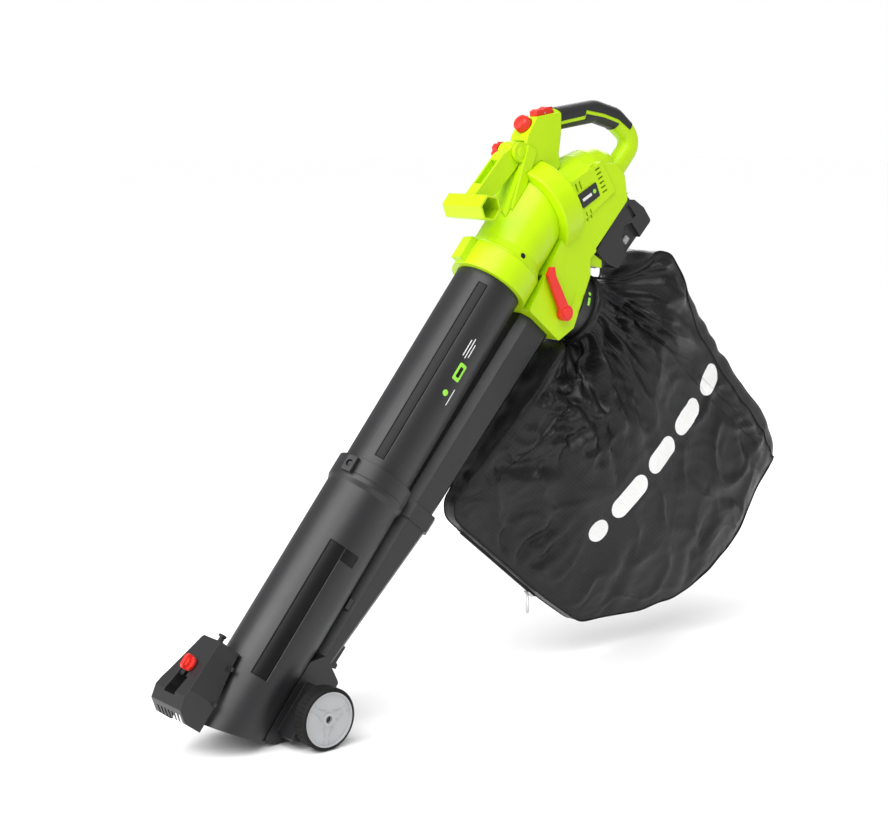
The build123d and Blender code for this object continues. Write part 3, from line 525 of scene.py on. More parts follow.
# ------------------------------------------------------------------------------ meshes
@dataclass
class Maker:
    """Turns point grids into named pieces that ride on a body."""

    palette: Palette

    def piece(self, name: str, points: np.ndarray, faces: np.ndarray, finish: Enum, body: str, slot: Slot,
              smooth: bool = True, uv: np.ndarray | None = None, tags: dict[str, np.ndarray] | None = None,
              merge: float = 1e-6) -> bpy.types.Object:
        """Puts points and four-cornered faces into a mesh, closes its doubles and turns its faces outward.

        Args:
            name: the piece's name.
            points: (n, 3) tool-frame points in millimetres.
            faces: (m, 4) corner numbers.
            finish: its finish.
            body: the body it rides on.
            slot: the record's slot it belongs to; not used.
            smooth: shade smoothly.
            uv: (n, 2) cloth coordinates in metres, or None.
            tags: point attributes by name.
            merge: distance in metres under which points become one.
        Returns:
            The new object, at the origin.
        """
        mesh = bpy.data.meshes.new(name)
        mesh.from_pydata(STANCE.points(points).tolist(), [], faces.tolist())
        if uv is not None:
            layer = mesh.uv_layers.new(name="cloth")
            corners = np.empty(len(mesh.loops), dtype=np.int64)
            mesh.loops.foreach_get("vertex_index", corners)
            layer.data.foreach_set("uv", uv[corners].astype(np.float32).ravel())
        for key, value in (tags or {}).items():
            mesh.attributes.new(key, "FLOAT", "POINT").data.foreach_set("value", value.astype(np.float32))
        work = bmesh.new()
        work.from_mesh(mesh)
        bmesh.ops.remove_doubles(work, verts=work.verts, dist=merge)
        bmesh.ops.dissolve_degenerate(work, edges=work.edges, dist=1e-7)
        bmesh.ops.recalc_face_normals(work, faces=work.faces)
        work.to_mesh(mesh)
        work.free()
        mesh.polygons.foreach_set("use_smooth", np.full(len(mesh.polygons), smooth))
        mesh.update()
        made = bpy.data.objects.new(name, mesh)
        bpy.context.scene.collection.objects.link(made)
        mesh.materials.append(self.palette.get(finish))
        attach(made, body)
        log.info("piece %s: %d faces on %s", name, len(mesh.polygons), body)
        return made

    @staticmethod
    def weave(rows: int, columns: int, wrap: bool = False) -> np.ndarray:
        """Faces of a rows by columns grid.

        Args:
            rows: grid rows.
            columns: grid columns.
            wrap: join the last column to the first.
        Returns:
            (m, 4) corner numbers.
        """
        last = columns if wrap else columns - 1
        i, j = np.meshgrid(np.arange(rows - 1), np.arange(last), indexing="ij")
        k = (j + 1) % columns
        return np.stack((i * columns + j, i * columns + k, (i + 1) * columns + k, (i + 1) * columns + j),
                        axis=-1).reshape(-1, 4)

    def plate(self, half_a: float, half_b: float, radius: float, rows: int = 41,
              columns: int = 17) -> tuple[np.ndarray, np.ndarray]:
        """Rounded rectangle in rows: at a distance a along it, half its width is half_b - radius plus the
        height of the corner's circle, sqrt(radius^2 - x^2), where x is how far a lies beyond its middle.

        Args:
            half_a: half length.
            half_b: half width.
            radius: corner radius.
            rows: rows along the length, closer together at the ends.
            columns: points to a row.
        Returns:
            Grid points (rows * columns, 2) and the faces between them.
        """
        radius = min(radius, half_a, half_b)
        a = half_a * np.sin(np.linspace(-math.pi / 2, math.pi / 2, rows))
        beyond = np.clip(np.abs(a) - (half_a - radius), 0, radius)
        width = half_b - radius + np.sqrt(np.maximum(radius ** 2 - beyond ** 2, 0))
        b = np.linspace(-1, 1, columns)[None, :] * width[:, None]
        grid = np.stack((np.broadcast_to(a[:, None], b.shape), b), axis=-1)
        return grid.reshape(-1, 2), self.weave(rows, columns)

    def tube(self, path: np.ndarray, radius: float, sides: int) -> tuple[np.ndarray, np.ndarray]:
        """Round profile carried along a path that lies near the side plane: each ring spans the path's own
        sideways direction and the tool's v direction.

        Args:
            path: (n, 3) points.
            radius: the profile's radius.
            sides: points to a ring.
        Returns:
            Points and faces, with both ends drawn in to a point.
        """
        run = np.gradient(path, axis=0)
        run /= np.linalg.norm(run, axis=1, keepdims=True)
        across = np.cross(run, np.array([0.0, 1.0, 0.0]))
        across /= np.linalg.norm(across, axis=1, keepdims=True)
        over = np.cross(across, run)
        size = np.full(len(path), radius)
        size[[0, -1]] = 1e-4
        turn = np.linspace(0, 2 * math.pi, sides, endpoint=False)
        ring = np.cos(turn)[None, :, None] * across[:, None] + np.sin(turn)[None, :, None] * over[:, None]
        grid = path[:, None] + ring * size[:, None, None]
        return grid.reshape(-1, 3), self.weave(len(path), sides, True)

    @staticmethod
    def thicken(piece: bpy.types.Object, depth: float, offset: float = 1.0) -> None:
        """Gives a sheet a thickness in metres with a Solidify modifier."""
        wall = piece.modifiers.new("thickness", "SOLIDIFY")
        wall.thickness = depth
        wall.offset = offset


# ------------------------------------------------------------------------------ sub-assemblies
@dataclass
class Mouldings:
    """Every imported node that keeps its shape: it takes the finish of its material slot."""

    palette: Palette
    special: dict[str, Enum] = field(default_factory=dict)

    def dress(self) -> None:
        """Gives each node its finish."""
        slots = {part["node"]: part["material_slot"] for part in frame["record"]["subparts"]}
        for name, made in frame["nodes"].items():
            finish = self.special.get(name, Slot(slots[name]))
            made.data.materials.clear()
            made.data.materials.append(self.palette.get(finish))
            log.info("node %s: %s", name, finish.value)


@dataclass
class TubeMarks:
    """Printed marks and glossy inlays on the suction tube."""

    maker: Maker
    upper_radius: float = 55.0
    lower_radius: float = 59.7
    recess: float = 0.85
    lift: float = 0.12

    def wrap(self, flat: np.ndarray, radius: float) -> np.ndarray:
        """Bends (u, arc length) points round the tube: the angle is the arc length over the radius.

        Args:
            flat: (n, 2) points, arc length measured from the near side up.
            radius: the tube's radius there.
        Returns:
            (n, 3) tool-frame points.
        """
        turn = flat[:, 1] / radius
        return np.stack((flat[:, 0], -radius * np.cos(turn), radius * np.sin(turn)), axis=-1)

    def mark(self, name: str, start: float, stop: float, low: float, high: float, corner: float,
             finish: Mark, radius: float) -> None:
        """One rounded mark on the tube.

        Args:
            name: the piece's name.
            start: lower end along the tube.
            stop: upper end along the tube.
            low: lower angle in degrees from the near side.
            high: upper angle in degrees.
            corner: corner radius.
            finish: its ink.
            radius: the surface's radius.
        """
        radius += self.lift
        arc = math.radians(1.0) * radius
        flat, faces = self.maker.plate((stop - start) / 2, (high - low) * arc / 2, corner)
        flat = flat + np.array([(start + stop) / 2, (low + high) * arc / 2])
        made = self.maker.piece(name, self.wrap(flat, radius), faces, finish, "frame", Slot.BLACK)
        self.maker.thicken(made, INK)

    def build(self) -> None:
        """All the marks, and the inlays that lie in the tubes' recesses."""
        r = self.upper_radius
        self.mark("tube_badge", 628, 658, -4, 11, 3.0, Mark.GREEN, r)
        self.mark("tube_badge_window", 634, 652, 0.2, 6.8, 1.6, Mark.GLOSS, r + self.lift)
        self.mark("tube_dot", 598, 608, 1.8, 12.2, 4.9, Mark.GREEN, r)
        self.mark("tube_line_low", 588, 617, -7, -5.2, 0.8, Mark.WHITE, r)
        for row, (start, stop) in enumerate(((668, 697), (666, 702), (670, 694))):
            low = 13.5 - 5.2 * row
            self.mark(f"tube_line_{row}", start, stop, low, low + 1.7, 0.7, Mark.WHITE, r)
        self.mark("stripe_inlay", 461.6, 784.4, 38.0, 54.0, 1.0, Mark.GLOSS, r - self.recess)
        low_r = self.lower_radius - self.recess
        self.mark("panel_inlay_stem", 88.6, 315.4, 19.8, 44.5, 1.0, Mark.GLOSS, low_r)
        self.mark("panel_inlay_flag", 296.6, 315.4, -7.5, 19.5, 1.0, Mark.GLOSS, low_r)


@dataclass
class PlateMarks:
    """Plain bar and dot printed on the nameplates."""

    maker: Maker
    face: float = 54.7

    def build(self) -> None:
        """Flat marks set just off both plates' faces, in the fan frame."""
        marks = (("bar", (54.5, -9.6), (11.0, 2.4), 1.2, Mark.WHITE),
                 ("dot", (73.0, -8.6), (3.6, 3.6), 3.5, Mark.GREEN))
        for side, label in ((-1, "near"), (1, "far")):
            for name, middle, half, corner, finish in marks:
                flat, faces = self.maker.plate(*half, corner)
                flat = flat + np.array(middle)
                out = np.full(len(flat), side * self.face)
                local = np.stack((flat[:, 0], out, flat[:, 1]), axis=-1)
                made = self.maker.piece(f"plate_{name}_{label}", STANCE.from_fan(local), faces, finish,
                                        "frame", Slot.PLATE)
                self.maker.thicken(made, INK, 0.0)


@dataclass(frozen=True)
class Crease:
    """Valley in the cloth along a route in the side plane, or a ridge where its depth is negative."""

    width: float
    depth: float
    route: tuple[tuple[float, float], ...]

    def height(self, where: np.ndarray) -> np.ndarray:
        """Depth times a bell curve of the distance to the nearest stretch, with a low, wide ridge beside it.

        Args:
            where: points in the side plane.
        Returns:
            Height at each point.
        """
        best = np.full(where.shape[:-1], np.inf)
        along = np.zeros(where.shape[:-1])
        legs = len(self.route) - 1
        for index in range(legs):
            a, b = np.array(self.route[index]), np.array(self.route[index + 1])
            t = np.clip(((where - a) @ (b - a)) / ((b - a) @ (b - a)), 0, 1)
            gap = np.linalg.norm(where - (a + t[..., None] * (b - a)), axis=-1)
            closer = gap < best
            best = np.where(closer, gap, best)
            along = np.where(closer, (index + t) / legs, along)
        taper = np.sqrt(np.clip(np.sin(math.pi * np.clip(along, 0.02, 0.98)), 0, 1))
        bell = np.exp(-((best / self.width) ** 2))
        shoulder = np.exp(-(((best - 1.9 * self.width) / (1.2 * self.width)) ** 2))
        return self.depth * taper * (-bell + 0.35 * shoulder)


COLLAR_CREASES = (
    Crease(9.0, 12.0, ((922, -188), (905, -225), (878, -300))),
    Crease(11.0, 10.0, ((893, -195), (860, -232), (818, -278), (768, -350))),
    Crease(14.0, -5.0, ((905, -200), (888, -290), (850, -400))),
    Crease(11.0, 7.0, ((835, -200), (800, -240), (757, -300), (690, -392))),
    Crease(16.0, -5.5, ((860, -215), (790, -310), (742, -420))),
    Crease(8.0, 8.0, ((782, -165), (748, -198), (742, -282), (700, -330))),
    Crease(7.0, 6.5, ((702, -160), (748, -198), (800, -214))),
    Crease(9.0, 5.5, ((742, -282), (690, -262), (640, -285))))
BODY_CREASES = (
    Crease(17.0, 7.0, ((572, -158), (608, -215), (655, -282))),
    Crease(18.0, 4.5, ((655, -282), (600, -330), (520, -350))),
    Crease(15.0, 7.0, ((938, -196), (985, -262), (1004, -400), (985, -520))),
    Crease(14.0, 5.0, ((965, -215), (1030, -262), (1040, -380))))
EDGE_CREASES = (
    Crease(8.0, 5.5, ((476, -332), (520, -322), (570, -345))),
    Crease(9.0, 5.0, ((476, -345), (530, -372), (600, -372))),
    Crease(8.0, 4.5, ((476, -300), (512, -270), (552, -262))),
    Crease(14.0, 5.0, ((640, -690), (700, -640), (800, -620))),
    Crease(13.0, 4.5, ((840, -735), (830, -660), (790, -590))),
    Crease(12.0, 6.0, ((930, -590), (900, -640), (900, -720))),
    Crease(14.0, 4.0, ((520, -560), (590, -520), (650, -500))))


@dataclass
class Sack:
    """The collecting bag: two crowned panels and a gusset, gathered into a cuff on the port's collar."""

    maker: Maker
    outline: tuple[tuple[float, float], ...] = (
        (951, -174), (972, -202), (1046, -215), (1072, -252), (1069, -330), (1036, -500), (1018, -676),
        (988, -728), (950, -752), (868, -724), (788, -730), (690, -712), (612, -680), (540, -612),
        (478, -524), (471, -420), (471, -170), (496, -147), (798, -147), (824, -163), (830, -186))
    collar: tuple[float, float] = (892.0, -172.0)
    collar_radius: float = 58.7
    cuff_reach: tuple[float, float] = (25.0, 40.0)
    gusset_half: float = 57.0
    zip_share: float = 0.2
    crown: float = 21.0
    print_w: float = -428.0
    columns: int = 300
    panel_rows: int = 104
    cuff_rows: int = 8
    gusset_rows: int = 19
    seed: int = 7

    def edge(self) -> tuple[np.ndarray, np.ndarray, np.ndarray]:
        """Outline walked at even steps, its corners softened by a running average, with inward normals.

        Returns:
            Points (columns, 2), inward unit normals (columns, 2) and the distance walked (columns).
        """
        reach, spread = 30, 9.0
        corners = np.array(self.outline, float)
        leg = np.linalg.norm(np.diff(corners, axis=0), axis=1)
        walked = np.concatenate(([0], np.cumsum(leg)))
        fine = np.linspace(0, walked[-1], 1600)
        line = np.stack([np.interp(fine, walked, corners[:, k]) for k in (0, 1)], axis=-1)
        kernel = np.exp(-0.5 * (np.arange(-reach, reach + 1) / spread) ** 2)
        kernel /= kernel.sum()
        padded = np.concatenate((np.repeat(line[:1], reach, 0), line, np.repeat(line[-1:], reach, 0)))
        soft = np.stack([np.convolve(padded[:, k], kernel, "valid") for k in (0, 1)], axis=-1)
        pick = np.linspace(0, len(soft) - 1, self.columns)
        points = np.stack([np.interp(pick, np.arange(len(soft)), soft[:, k]) for k in (0, 1)], axis=-1)
        run = np.gradient(points, axis=0)
        run /= np.linalg.norm(run, axis=1, keepdims=True)
        inward = np.stack((run[:, 1], -run[:, 0]), axis=-1)
        if ((points.mean(axis=0) - points) * inward).sum() < 0:
            inward = -inward
        return points, inward, np.linspace(0, walked[-1], self.columns)

    @staticmethod
    def ramp(value: np.ndarray, low: float, high: float) -> np.ndarray:
        """Smooth step: 0 below low, 1 above high, and 3t^2 - 2t^3 between them."""
        t = np.clip((value - low) / (high - low), 0, 1)
        return t * t * (3 - 2 * t)

    @staticmethod
    def ripples(where: np.ndarray, length: float, seed: int, waves: int = 9) -> np.ndarray:
        """Sum of plane waves of random direction and phase, about that wavelength, scaled to about -1 to 1.

        Args:
            where: points whose last axis is the position.
            length: mean wavelength.
            seed: picks the waves.
            waves: number of waves.
        Returns:
            One value for each point.
        """
        draw = np.random.default_rng(seed)
        turn = draw.uniform(0, 2 * math.pi, waves)
        size = 2 * math.pi / (length * draw.uniform(0.7, 1.5, waves))
        phase = draw.uniform(0, 2 * math.pi, waves)
        a = where[..., 0, None] * (np.cos(turn) * size) + where[..., 1, None] * (np.sin(turn) * size) + phase
        return np.sin(a).sum(axis=-1) / math.sqrt(waves) * 0.8

    def fan(self, where: np.ndarray, seed: int) -> np.ndarray:
        """Folds that run out from the collar: sharp ridges where the sine of the angle round it crosses zero,
        fading as a bell curve of the distance from it.

        Args:
            where: points in the side plane.
            seed: picks the wobble of the folds.
        Returns:
            Height in millimetres.
        """
        arm = where - np.array(self.collar)
        spread, away = np.arctan2(arm[..., 1], arm[..., 0]), np.linalg.norm(arm, axis=-1)
        wobble = self.ripples(where, 120.0, seed)
        rays = 1.0 - np.abs(np.sin(8.5 * spread + 0.55 * wobble + 0.7)) ** 0.8
        rays = rays + 0.6 * (1.0 - np.abs(np.sin(17.0 * spread + 0.8 * wobble + 1.9)) ** 0.8)
        return 8.0 * (rays - 0.55) * np.exp(-((away - 95.0) / 130.0) ** 2)

    def folds(self, where: np.ndarray, near: bool) -> np.ndarray:
        """Height of the cloth over a smooth panel: slow waves, sharp crumples where waves cross zero, the fan
        round the collar and the creases. The cloth is calmer under the print.

        Args:
            where: points in the side plane.
            near: the near panel, whose folds are deeper.
        Returns:
            Height in millimetres.
        """
        seed = self.seed if near else self.seed + 50
        slow = 4.5 * self.ripples(where, 240.0, seed)
        fan = self.fan(where, seed + 9) * (1.0 if near else 0.8)
        shift = np.stack((self.ripples(where, 130, seed + 1), self.ripples(where, 130, seed + 2)), axis=-1)
        warp = where + 16.0 * shift
        sharp = 1.0 - np.abs(self.ripples(warp, 105.0, seed + 3, 6))
        crumple = 1.0 - np.abs(self.ripples(warp, 46.0, seed + 4, 7))
        top = np.exp(-(np.linalg.norm(where - np.array([730.0, -215.0]), axis=-1) / 120.0) ** 2)
        inked = np.exp(-((where[..., 1] - self.print_w) / 60.0) ** 2) * self.ramp(where[..., 0], 520, 600)
        calm = 1.0 - 0.8 * inked * (1.0 if near else 0.0)
        height = slow * calm + 5.2 * calm * np.clip(sharp, 0, 1) ** 3
        height = height + fan + (1.6 + 6.5 * top) * calm * np.clip(crumple, 0, 1) ** 3
        strength = (1.35 if near else 1.0) * calm
        for crease in COLLAR_CREASES + BODY_CREASES + EDGE_CREASES:
            height = height + strength * crease.height(where)
        return height

    def panel(self, near: bool) -> np.ndarray:
        """One panel from cuff to seam.

        Each column leaves the collar's rim along the port's axis and reaches the seam on a cubic curve. Its
        height starts on the collar's circle and becomes the gusset's half width, which narrows towards the
        zip, plus a crown that grows with the distance from the seam. Pleats and folds lie on top.

        Args:
            near: the near panel, else the far one.
        Returns:
            Points (cuff_rows + panel_rows - 1, columns, 3), the seam last.
        """
        seam, inward, _ = self.edge()
        s = np.linspace(0, 1, self.columns)
        side = -1.0 if near else 1.0
        ends = self.ramp(s, 0.0, 0.03) * self.ramp(1 - s, 0.0, 0.03)
        inset = 46.0 * self.ramp(s, 0.07, 0.16) * (1 - self.ramp(s, 0.30, 0.42)) * (1.0 if near else 0.35)
        inset = (5.0 + inset) * ends
        free = 0.12 + 0.88 * self.ramp(seam[:, 0], 471.0, 520.0)
        seam = seam + inward * ((inset + 1.6 * (1 + self.ripples(seam, 60.0, 21))) * free)[:, None]
        half = self.gusset_half * self.ramp(s, 0.0, 0.05) * self.ramp(1 - s, 0.0, 0.03)
        turn = math.pi * s
        pleat = np.cos(26 * s + 1.3) * 1.6 + np.cos(61 * s + 0.4) * 1.3 + np.cos(97 * s) * 0.7
        pleat = -side * pleat * self.ramp(s, 0.0, 0.08) * self.ramp(1 - s, 0.0, 0.08)

        step = np.linspace(0, 1, self.cuff_rows)[:, None]
        radius = self.collar_radius + 3.2 * np.sin(math.pi * step) ** 0.7 + pleat * 0.5 * step
        first, last = self.cuff_reach
        cuff = STANCE.from_port(np.stack((
            first + (last - first) * step + 0 * radius,
            side * radius * np.sin(turn), radius * np.cos(turn)), axis=-1))

        r = np.linspace(0, 1, self.panel_rows)[1:, None]
        b = r[..., None]
        start = cuff[-1][:, [0, 2]]
        out = np.array([math.cos(STANCE.port_turn), -math.sin(STANCE.port_turn)])
        reach = np.linalg.norm(seam - start, axis=1)[:, None]
        leave = start + out * np.minimum(70.0, 0.42 * reach)
        arrive = seam + inward * np.minimum(60.0, 0.3 * reach)
        a = 1 - b
        flat = a ** 3 * start + 3 * a ** 2 * b * leave + 3 * a * b * b * arrive + b ** 3 * seam
        gap = np.full(flat.shape[:2], np.inf)
        for chunk in np.array_split(seam, 12):
            gap = np.minimum(gap, np.linalg.norm(flat[:, :, None] - chunk[None, None], axis=-1).min(axis=-1))
        run = np.linalg.norm(flat - start[None], axis=-1)
        row = r + 0 * run

        narrow = self.zip_share + (1 - self.zip_share) * self.ramp(flat[..., 0], 460.0, 760.0)
        body = half * narrow + self.crown * (1 - np.exp(-gap / 62.0))
        neck = radius[-1] * np.sin(turn)
        share = self.ramp(run, 6.0, 150.0) * self.ramp(row, 0.0, 0.5)
        share = np.maximum(share, self.ramp(row, 0.35, 1.0))
        height = neck * (1 - share) + body * share
        fade = self.ramp(gap, 0.0, 26.0) * self.ramp(run, 8.0, 60.0)
        height = height + fade * self.folds(flat, near)
        height = height + pleat * 2.6 * np.exp(-((run - 70.0) / 75.0) ** 2) * self.ramp(gap, 0, 30)
        pucker = np.sin(0.55 * np.arange(1, self.columns + 1) + 3 * self.ripples(seam, 90, 5))
        height = height + 1.1 * pucker * np.exp(-gap / 14.0) * self.ramp(gap, 0.0, 5.0)
        hollow = np.exp(-((flat[..., 0] - 640) / 130) ** 2 - ((flat[..., 1] + 250) / 90) ** 2)
        height = np.maximum(height - 9.0 * hollow * fade, 0.25 * neck)
        return np.concatenate((cuff, np.stack((flat[..., 0], side * height, flat[..., 1]), axis=-1)))

    def gusset(self, near: np.ndarray, far: np.ndarray) -> np.ndarray:
        """Strip between the seams: straight across, pushed out to the outline by 1 - (2g - 1)^4, where g runs
        from 0 to 1 across it, and lightly wrinkled.

        Args:
            near: (columns, 3) near seam.
            far: (columns, 3) far seam.
        Returns:
            (rows, columns, 3) points between the seams.
        """
        whole, inward, walked = self.edge()
        g = np.linspace(0, 1, self.gusset_rows + 2)[1:-1, None, None]
        strip = near * (1 - g) + far * g
        lift = 1 - (2 * g[..., 0] - 1) ** 4
        free = 0.08 + 0.92 * self.ramp(whole[:, 0], 471.0, 520.0)
        line = np.stack((walked, 0 * walked), axis=-1)
        target = whole + inward * (free * (1.5 + 2.4 * (1 + self.ripples(line, 55.0, 31))))[:, None]
        blend = (lift * (1.0 - 0.18 * np.abs(np.sin(2.2 * g[..., 0] * math.pi))))[..., None]
        flat = strip[..., [0, 2]] * (1 - blend) + target * blend
        cloth = np.stack(np.broadcast_arrays(walked[None, :], strip[..., 1] * 0.6), axis=-1)
        wave = self.ripples(cloth, 42.0, 33)
        flat = flat + inward * (1.6 * (1 + wave) * lift * free)[..., None]
        return np.stack((flat[..., 0], strip[..., 1], flat[..., 1]), axis=-1)

    def piping(self, label: str, seam: np.ndarray) -> None:
        """Thin cord along a seam, set a little outside it.

        Args:
            label: near or far.
            seam: (columns, 3) points.
        """
        sides, radius = 8, 1.3
        path = seam[4:-4] + np.array([0, (-0.3 if label == "near" else 0.3), 0])
        points, faces = self.maker.tube(path, radius, sides)
        leg = np.linalg.norm(np.diff(path, axis=0), axis=1)
        length = np.concatenate(([0], np.cumsum(leg))) * 0.001
        uv = np.stack(np.meshgrid(length, np.linspace(0, 0.01, sides), indexing="ij"), axis=-1)
        self.maker.piece(f"bag_piping_{label}", points, faces, Mark.PIPING, "bag", Slot.FABRIC,
                         uv=uv.reshape(-1, 2))

    def build(self) -> None:
        """Cuff, near panel, gusset, far panel and cuff as one grid, with piping on both seams."""
        near, far = self.panel(True), self.panel(False)
        strip = self.gusset(near[-1], far[-1])
        grid = np.concatenate((near, strip, far[::-1]))
        rows, first = len(grid), len(near)
        _, _, walked = self.edge()
        uv = grid[..., [0, 2]] * 0.001
        inside = slice(first, first + len(strip))
        uv[inside, :, 0] = walked[None, :] * 0.001
        uv[inside, :, 1] = strip[..., 1] * 0.001
        tag = np.zeros((rows, self.columns))
        tag[:first - 1] = 1.0
        made = self.maker.piece("bag_body", grid.reshape(-1, 3), self.maker.weave(rows, self.columns),
                                Slot.FABRIC, "bag", Slot.FABRIC, uv=uv.reshape(-1, 2),
                                tags={"near_side": tag.ravel()}, merge=2e-5)
        self.maker.thicken(made, 0.0006, -1.0)
        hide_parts("bag")
        self.piping("near", near[-1])
        self.piping("far", far[-1])


@dataclass
class Fittings:
    """The bag's zip, its pull, and the marks on its collar ring."""

    maker: Maker
    zip_u: float = 469.6
    zip_foot: float = -415.0
    zip_top: float = -200.0
    pitch: float = 2.6
    pivot: tuple[float, float] = (460.6, -400.0)
    hang: float = math.radians(39.5)

    def boxes(self, middle: np.ndarray, half: tuple[float, float, float]) -> tuple[np.ndarray, np.ndarray]:
        """Small blocks of one size about each middle: the eight sign patterns of half added to it.

        Args:
            middle: (n, 3) middles.
            half: half sizes along u, v and w.
        Returns:
            Points and faces.
        """
        ring = [(-1, -1), (1, -1), (1, 1), (-1, 1)]
        sign = np.array([(*corner, end) for end in (-1, 1) for corner in ring], float)
        points = (middle[:, None] + sign[None] * np.array(half)).reshape(-1, 3)
        quads = np.array([(0, 3, 2, 1), (4, 5, 6, 7), (0, 1, 5, 4), (1, 2, 6, 5), (2, 3, 7, 6), (3, 0, 4, 7)])
        return points, (np.arange(len(middle))[:, None, None] * 8 + quads[None]).reshape(-1, 4)

    def zip(self) -> None:
        """Tape whose two edges roll back, and the two rows of teeth that meet along its middle."""
        rows, columns = 90, 11
        w = np.linspace(self.zip_foot, self.zip_top, rows)
        v = np.linspace(-5.0, 5.0, columns)
        u = (self.zip_u - 3.4 + 0.10 * v ** 2)[None, :] + 0.25 * np.sin(w / 9.0)[:, None]
        grid = np.stack(np.broadcast_arrays(u, v[None, :], w[:, None]), axis=-1)
        uv = grid[..., [1, 2]] * 0.001
        tape = self.maker.piece("zip_tape", grid.reshape(-1, 3), self.maker.weave(rows, columns),
                                Mark.PIPING, "bag", Slot.FABRIC, uv=uv.reshape(-1, 2))
        self.maker.thicken(tape, 0.0007, 0.0)
        count = int((self.zip_top - self.zip_foot - 8) / self.pitch)
        rise = self.zip_foot + 4 + self.pitch * np.arange(2 * count) / 2
        side = np.where(np.arange(2 * count) % 2 == 0, -1.0, 1.0)
        middle = np.stack((np.full(2 * count, self.zip_u - 4.3), side * 0.95, rise), axis=-1)
        points, faces = self.boxes(middle, (0.7, 1.5, 0.55))
        self.maker.piece("zip_teeth", points, faces, Slot.BLACK, "bag", Slot.BLACK, smooth=False)
        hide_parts("zipper_track")

    def pull(self) -> None:
        """Pull: a flat loop of round bar with a solid tag at its lower end. The loop's middle line is the
        curve |a|^(2 / power) + |b|^(2 / power) = 1, stretched to its length and width."""
        count, sides, power = 48, 8, 0.55
        turn = np.linspace(0, 2 * math.pi, count, endpoint=False)
        along = -16.8 + 14.6 * np.sign(np.cos(turn)) * np.abs(np.cos(turn)) ** power
        across = 3.3 * np.sign(np.sin(turn)) * np.abs(np.sin(turn)) ** power
        c, s = math.cos(self.hang), math.sin(self.hang)
        bar = np.linspace(0, 2 * math.pi, sides, endpoint=False)
        line = np.stack((along, across), axis=-1)
        run = np.roll(line, -1, axis=0) - np.roll(line, 1, axis=0)
        run /= np.linalg.norm(run, axis=1, keepdims=True)
        out = np.stack((run[:, 1], -run[:, 0]), axis=-1)
        a = along[:, None] + 0.8 * np.cos(bar)[None, :] * out[:, 0:1]
        b = across[:, None] + 0.8 * np.cos(bar)[None, :] * out[:, 1:2]
        t = 0.75 * np.sin(bar)[None, :] + 0 * a
        grid = np.stack((self.pivot[0] + c * a + s * t, b, self.pivot[1] + s * a - c * t), axis=-1)
        k = np.arange(sides)
        last, after = (count - 1) * sides, (k + 1) % sides
        join = np.stack((last + k, last + after, after, k), axis=-1)
        faces = np.vstack((self.maker.weave(count, sides, True), join))
        loop = self.maker.piece("zip_pull_loop", grid.reshape(-1, 3), faces, Slot.STEEL, "zip_pull",
                                Slot.STEEL)
        flat, faces = self.maker.plate(5.6, 3.2, 1.4, 21, 9)
        a = flat[:, 0] - 24.8
        grid = np.stack((self.pivot[0] + c * a, flat[:, 1], self.pivot[1] + s * a), axis=-1)
        tag = self.maker.piece("zip_pull_tag", grid, faces, Slot.STEEL, "zip_pull", Slot.STEEL)
        self.maker.thicken(tag, 0.0011, 0.0)
        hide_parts("zipper_pull")

    def collar(self) -> None:
        """A bar and a dot wrapped on the collar ring: the angle is the arc length over the radius."""
        radius, out = 54.15, 12.0
        arc = math.radians(1.0) * radius
        for name, low, high, half, corner in (("bar", 2.0, 16.0, 2.6, 0.8), ("dot", 20.0, 26.5, 3.1, 3.0)):
            flat, faces = self.maker.plate((high - low) * arc / 2, half, corner, 25, 9)
            turn = np.radians((high + low) / 2) + flat[:, 0] / radius
            local = np.stack((out + flat[:, 1], -radius * np.cos(turn), radius * np.sin(turn)), axis=-1)
            made = self.maker.piece(f"collar_{name}", STANCE.from_port(local), faces, Mark.GREEN, "bag",
                                    Slot.FABRIC)
            self.maker.thicken(made, INK)

    def build(self) -> None:
        """All of them."""
        self.zip()
        self.pull()
        self.collar()


@dataclass
class ClampCap:
    """Lime cap over the front handle's bolt head: a low dome."""

    maker: Maker
    centre: tuple[float, float] = (1000.0, 93.0)
    radius: float = 8.6
    face: float = -20.0
    rise: float = 1.6

    def build(self) -> None:
        """The dome, its height given at shares of the radius, with a short skirt into the handle's face."""
        sides = 40
        turn = np.linspace(0, 2 * math.pi, sides, endpoint=False)
        share = np.array([1e-5, 0.3, 0.6, 0.8, 0.92, 0.98, 1.0, 1.0])
        depth = np.array([1.0, 0.97, 0.86, 0.70, 0.52, 0.3, 0.1, -0.5])
        r = self.radius * share[:, None]
        grid = np.stack(np.broadcast_arrays(
            self.centre[0] + r * np.cos(turn), self.face - self.rise * depth[:, None],
            self.centre[1] + r * np.sin(turn)), axis=-1)
        self.maker.piece("clamp_cap", grid.reshape(-1, 3), self.maker.weave(len(share), sides, True),
                         Slot.LIME, "frame", Slot.LIME)


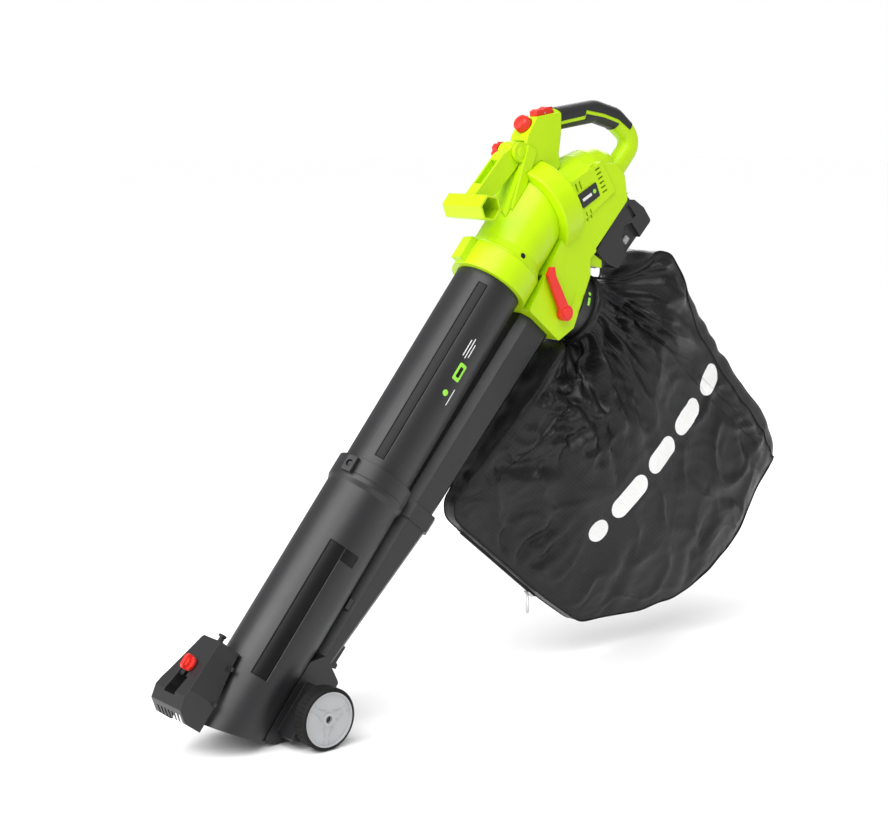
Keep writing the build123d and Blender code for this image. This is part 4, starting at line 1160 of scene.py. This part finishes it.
@dataclass
class Studio:
    """Camera, pale floor and soft light."""

    eye: tuple[float, float, float] = (-1.9040, -2.1249, 0.9084)
    azimuth: float = -39.66
    elevation: float = 9.43
    lens: float = 72.17
    floor_size: float = 60.0
    floor_height: float = -0.0005
    surround: float = 0.40

    def camera(self) -> None:
        """Camera that looks at the tool from its near front."""
        az, el = math.radians(self.azimuth), math.radians(self.elevation)
        back = Vector((math.sin(az) * math.cos(el), -math.cos(az) * math.cos(el), math.sin(el)))
        right = Vector((0, 0, 1)).cross(back).normalized()
        up = back.cross(right)
        data = bpy.data.cameras.new("camera")
        data.lens = self.lens
        data.sensor_fit = "HORIZONTAL"
        data.sensor_width = 36.0
        data.clip_end = 200.0
        made = bpy.data.objects.new("camera", data)
        made.matrix_world = Matrix.Translation(self.eye) @ Matrix((right, up, back)).transposed().to_4x4()
        bpy.context.scene.collection.objects.link(made)
        bpy.context.scene.camera = made

    def floor(self) -> None:
        """Plain pale floor."""
        bench = Bench.material("floor_paper")
        tone = bench.noise(bench.place(), 1.3, 3.0)
        surface = bench.mix(tone * 0.4, (0.93, 0.93, 0.93), (0.91, 0.91, 0.915))
        material = bench.finish({"Base Color": surface, "Roughness": tone * 0.1 + 0.8,
                                 "Specular IOR Level": 0.1})
        half, z = self.floor_size / 2, self.floor_height
        mesh = bpy.data.meshes.new("floor")
        mesh.from_pydata([(-half, -half, z), (half, -half, z), (half, half, z), (-half, half, z)], [],
                         [(0, 1, 2, 3)])
        mesh.materials.append(material)
        made = bpy.data.objects.new("floor", mesh)
        bpy.context.scene.collection.objects.link(made)

    def lamp(self, name: str, kind: str, power: float, at: Iterable[float], aim: Iterable[float],
             size: float) -> None:
        """One lamp.

        Args:
            name: its name.
            kind: SUN or AREA.
            power: strength.
            at: where it stands.
            aim: what it points at.
            size: width of an area lamp in metres, or a sun's spread in degrees.
        """
        data = bpy.data.lights.new(name, kind)
        data.energy = power
        if kind == "SUN":
            data.angle = math.radians(size)
        else:
            data.shape = "SQUARE"
            data.size = size
        made = bpy.data.objects.new(name, data)
        made.location = Vector(at)
        made.rotation_euler = (Vector(at) - Vector(aim)).to_track_quat("Z", "Y").to_euler()
        bpy.context.scene.collection.objects.link(made)

    def light(self) -> None:
        """Soft sun, two soft boxes and an even surround, which the camera sees as pure white."""
        self.lamp("key", "SUN", 2.75, (-2.0, -1.5, 3.4), (0, 0, 0), 56.0)
        self.lamp("side_box", "AREA", 90.0, (-3.2, 0.6, 2.2), (0, 0, 0.4), 2.2)
        self.lamp("back_box", "AREA", 60.0, (2.6, 1.8, 2.4), (0.1, 0, 0.5), 1.8)
        bench = Bench(bpy.data.worlds.new("surround"))
        bpy.context.scene.world = bench.owner
        seen = bench.node("ShaderNodeLightPath", out="Is Camera Ray")
        level = seen * (1.0 - self.surround) + self.surround
        sky = bench.node("ShaderNodeBackground", {}, {"Color": (1.0, 1.0, 1.0), "Strength": level})
        bench.close(sky, "ShaderNodeOutputWorld")
        bpy.context.scene.view_settings.view_transform = "Standard"
        bpy.context.scene.view_settings.look = "None"

    def build(self) -> None:
        """All of it."""
        self.camera()
        self.floor()
        self.light()


def main() -> None:
    """Builds and dresses every sub-assembly."""
    logging.basicConfig(level=logging.INFO, format="%(name)s: %(message)s")
    palette = Palette()
    maker = Maker(palette)
    Studio().build()
    # screws, wheel stubs and clips take the dark metal, painted shade of their holes
    hole_shaded = ("tube_screws", "wheel_stub_left", "wheel_stub_right", "wheel_clip_left", "wheel_clip_right")
    Mouldings(palette, {name: Mark.OXIDE for name in hole_shaded}).dress()
    TubeMarks(maker).build()
    PlateMarks(maker).build()
    Sack(maker).build()
    Fittings(maker).build()
    ClampCap(maker).build()
    bpy.context.view_layer.update()


if __name__ == "__main__":
    main()
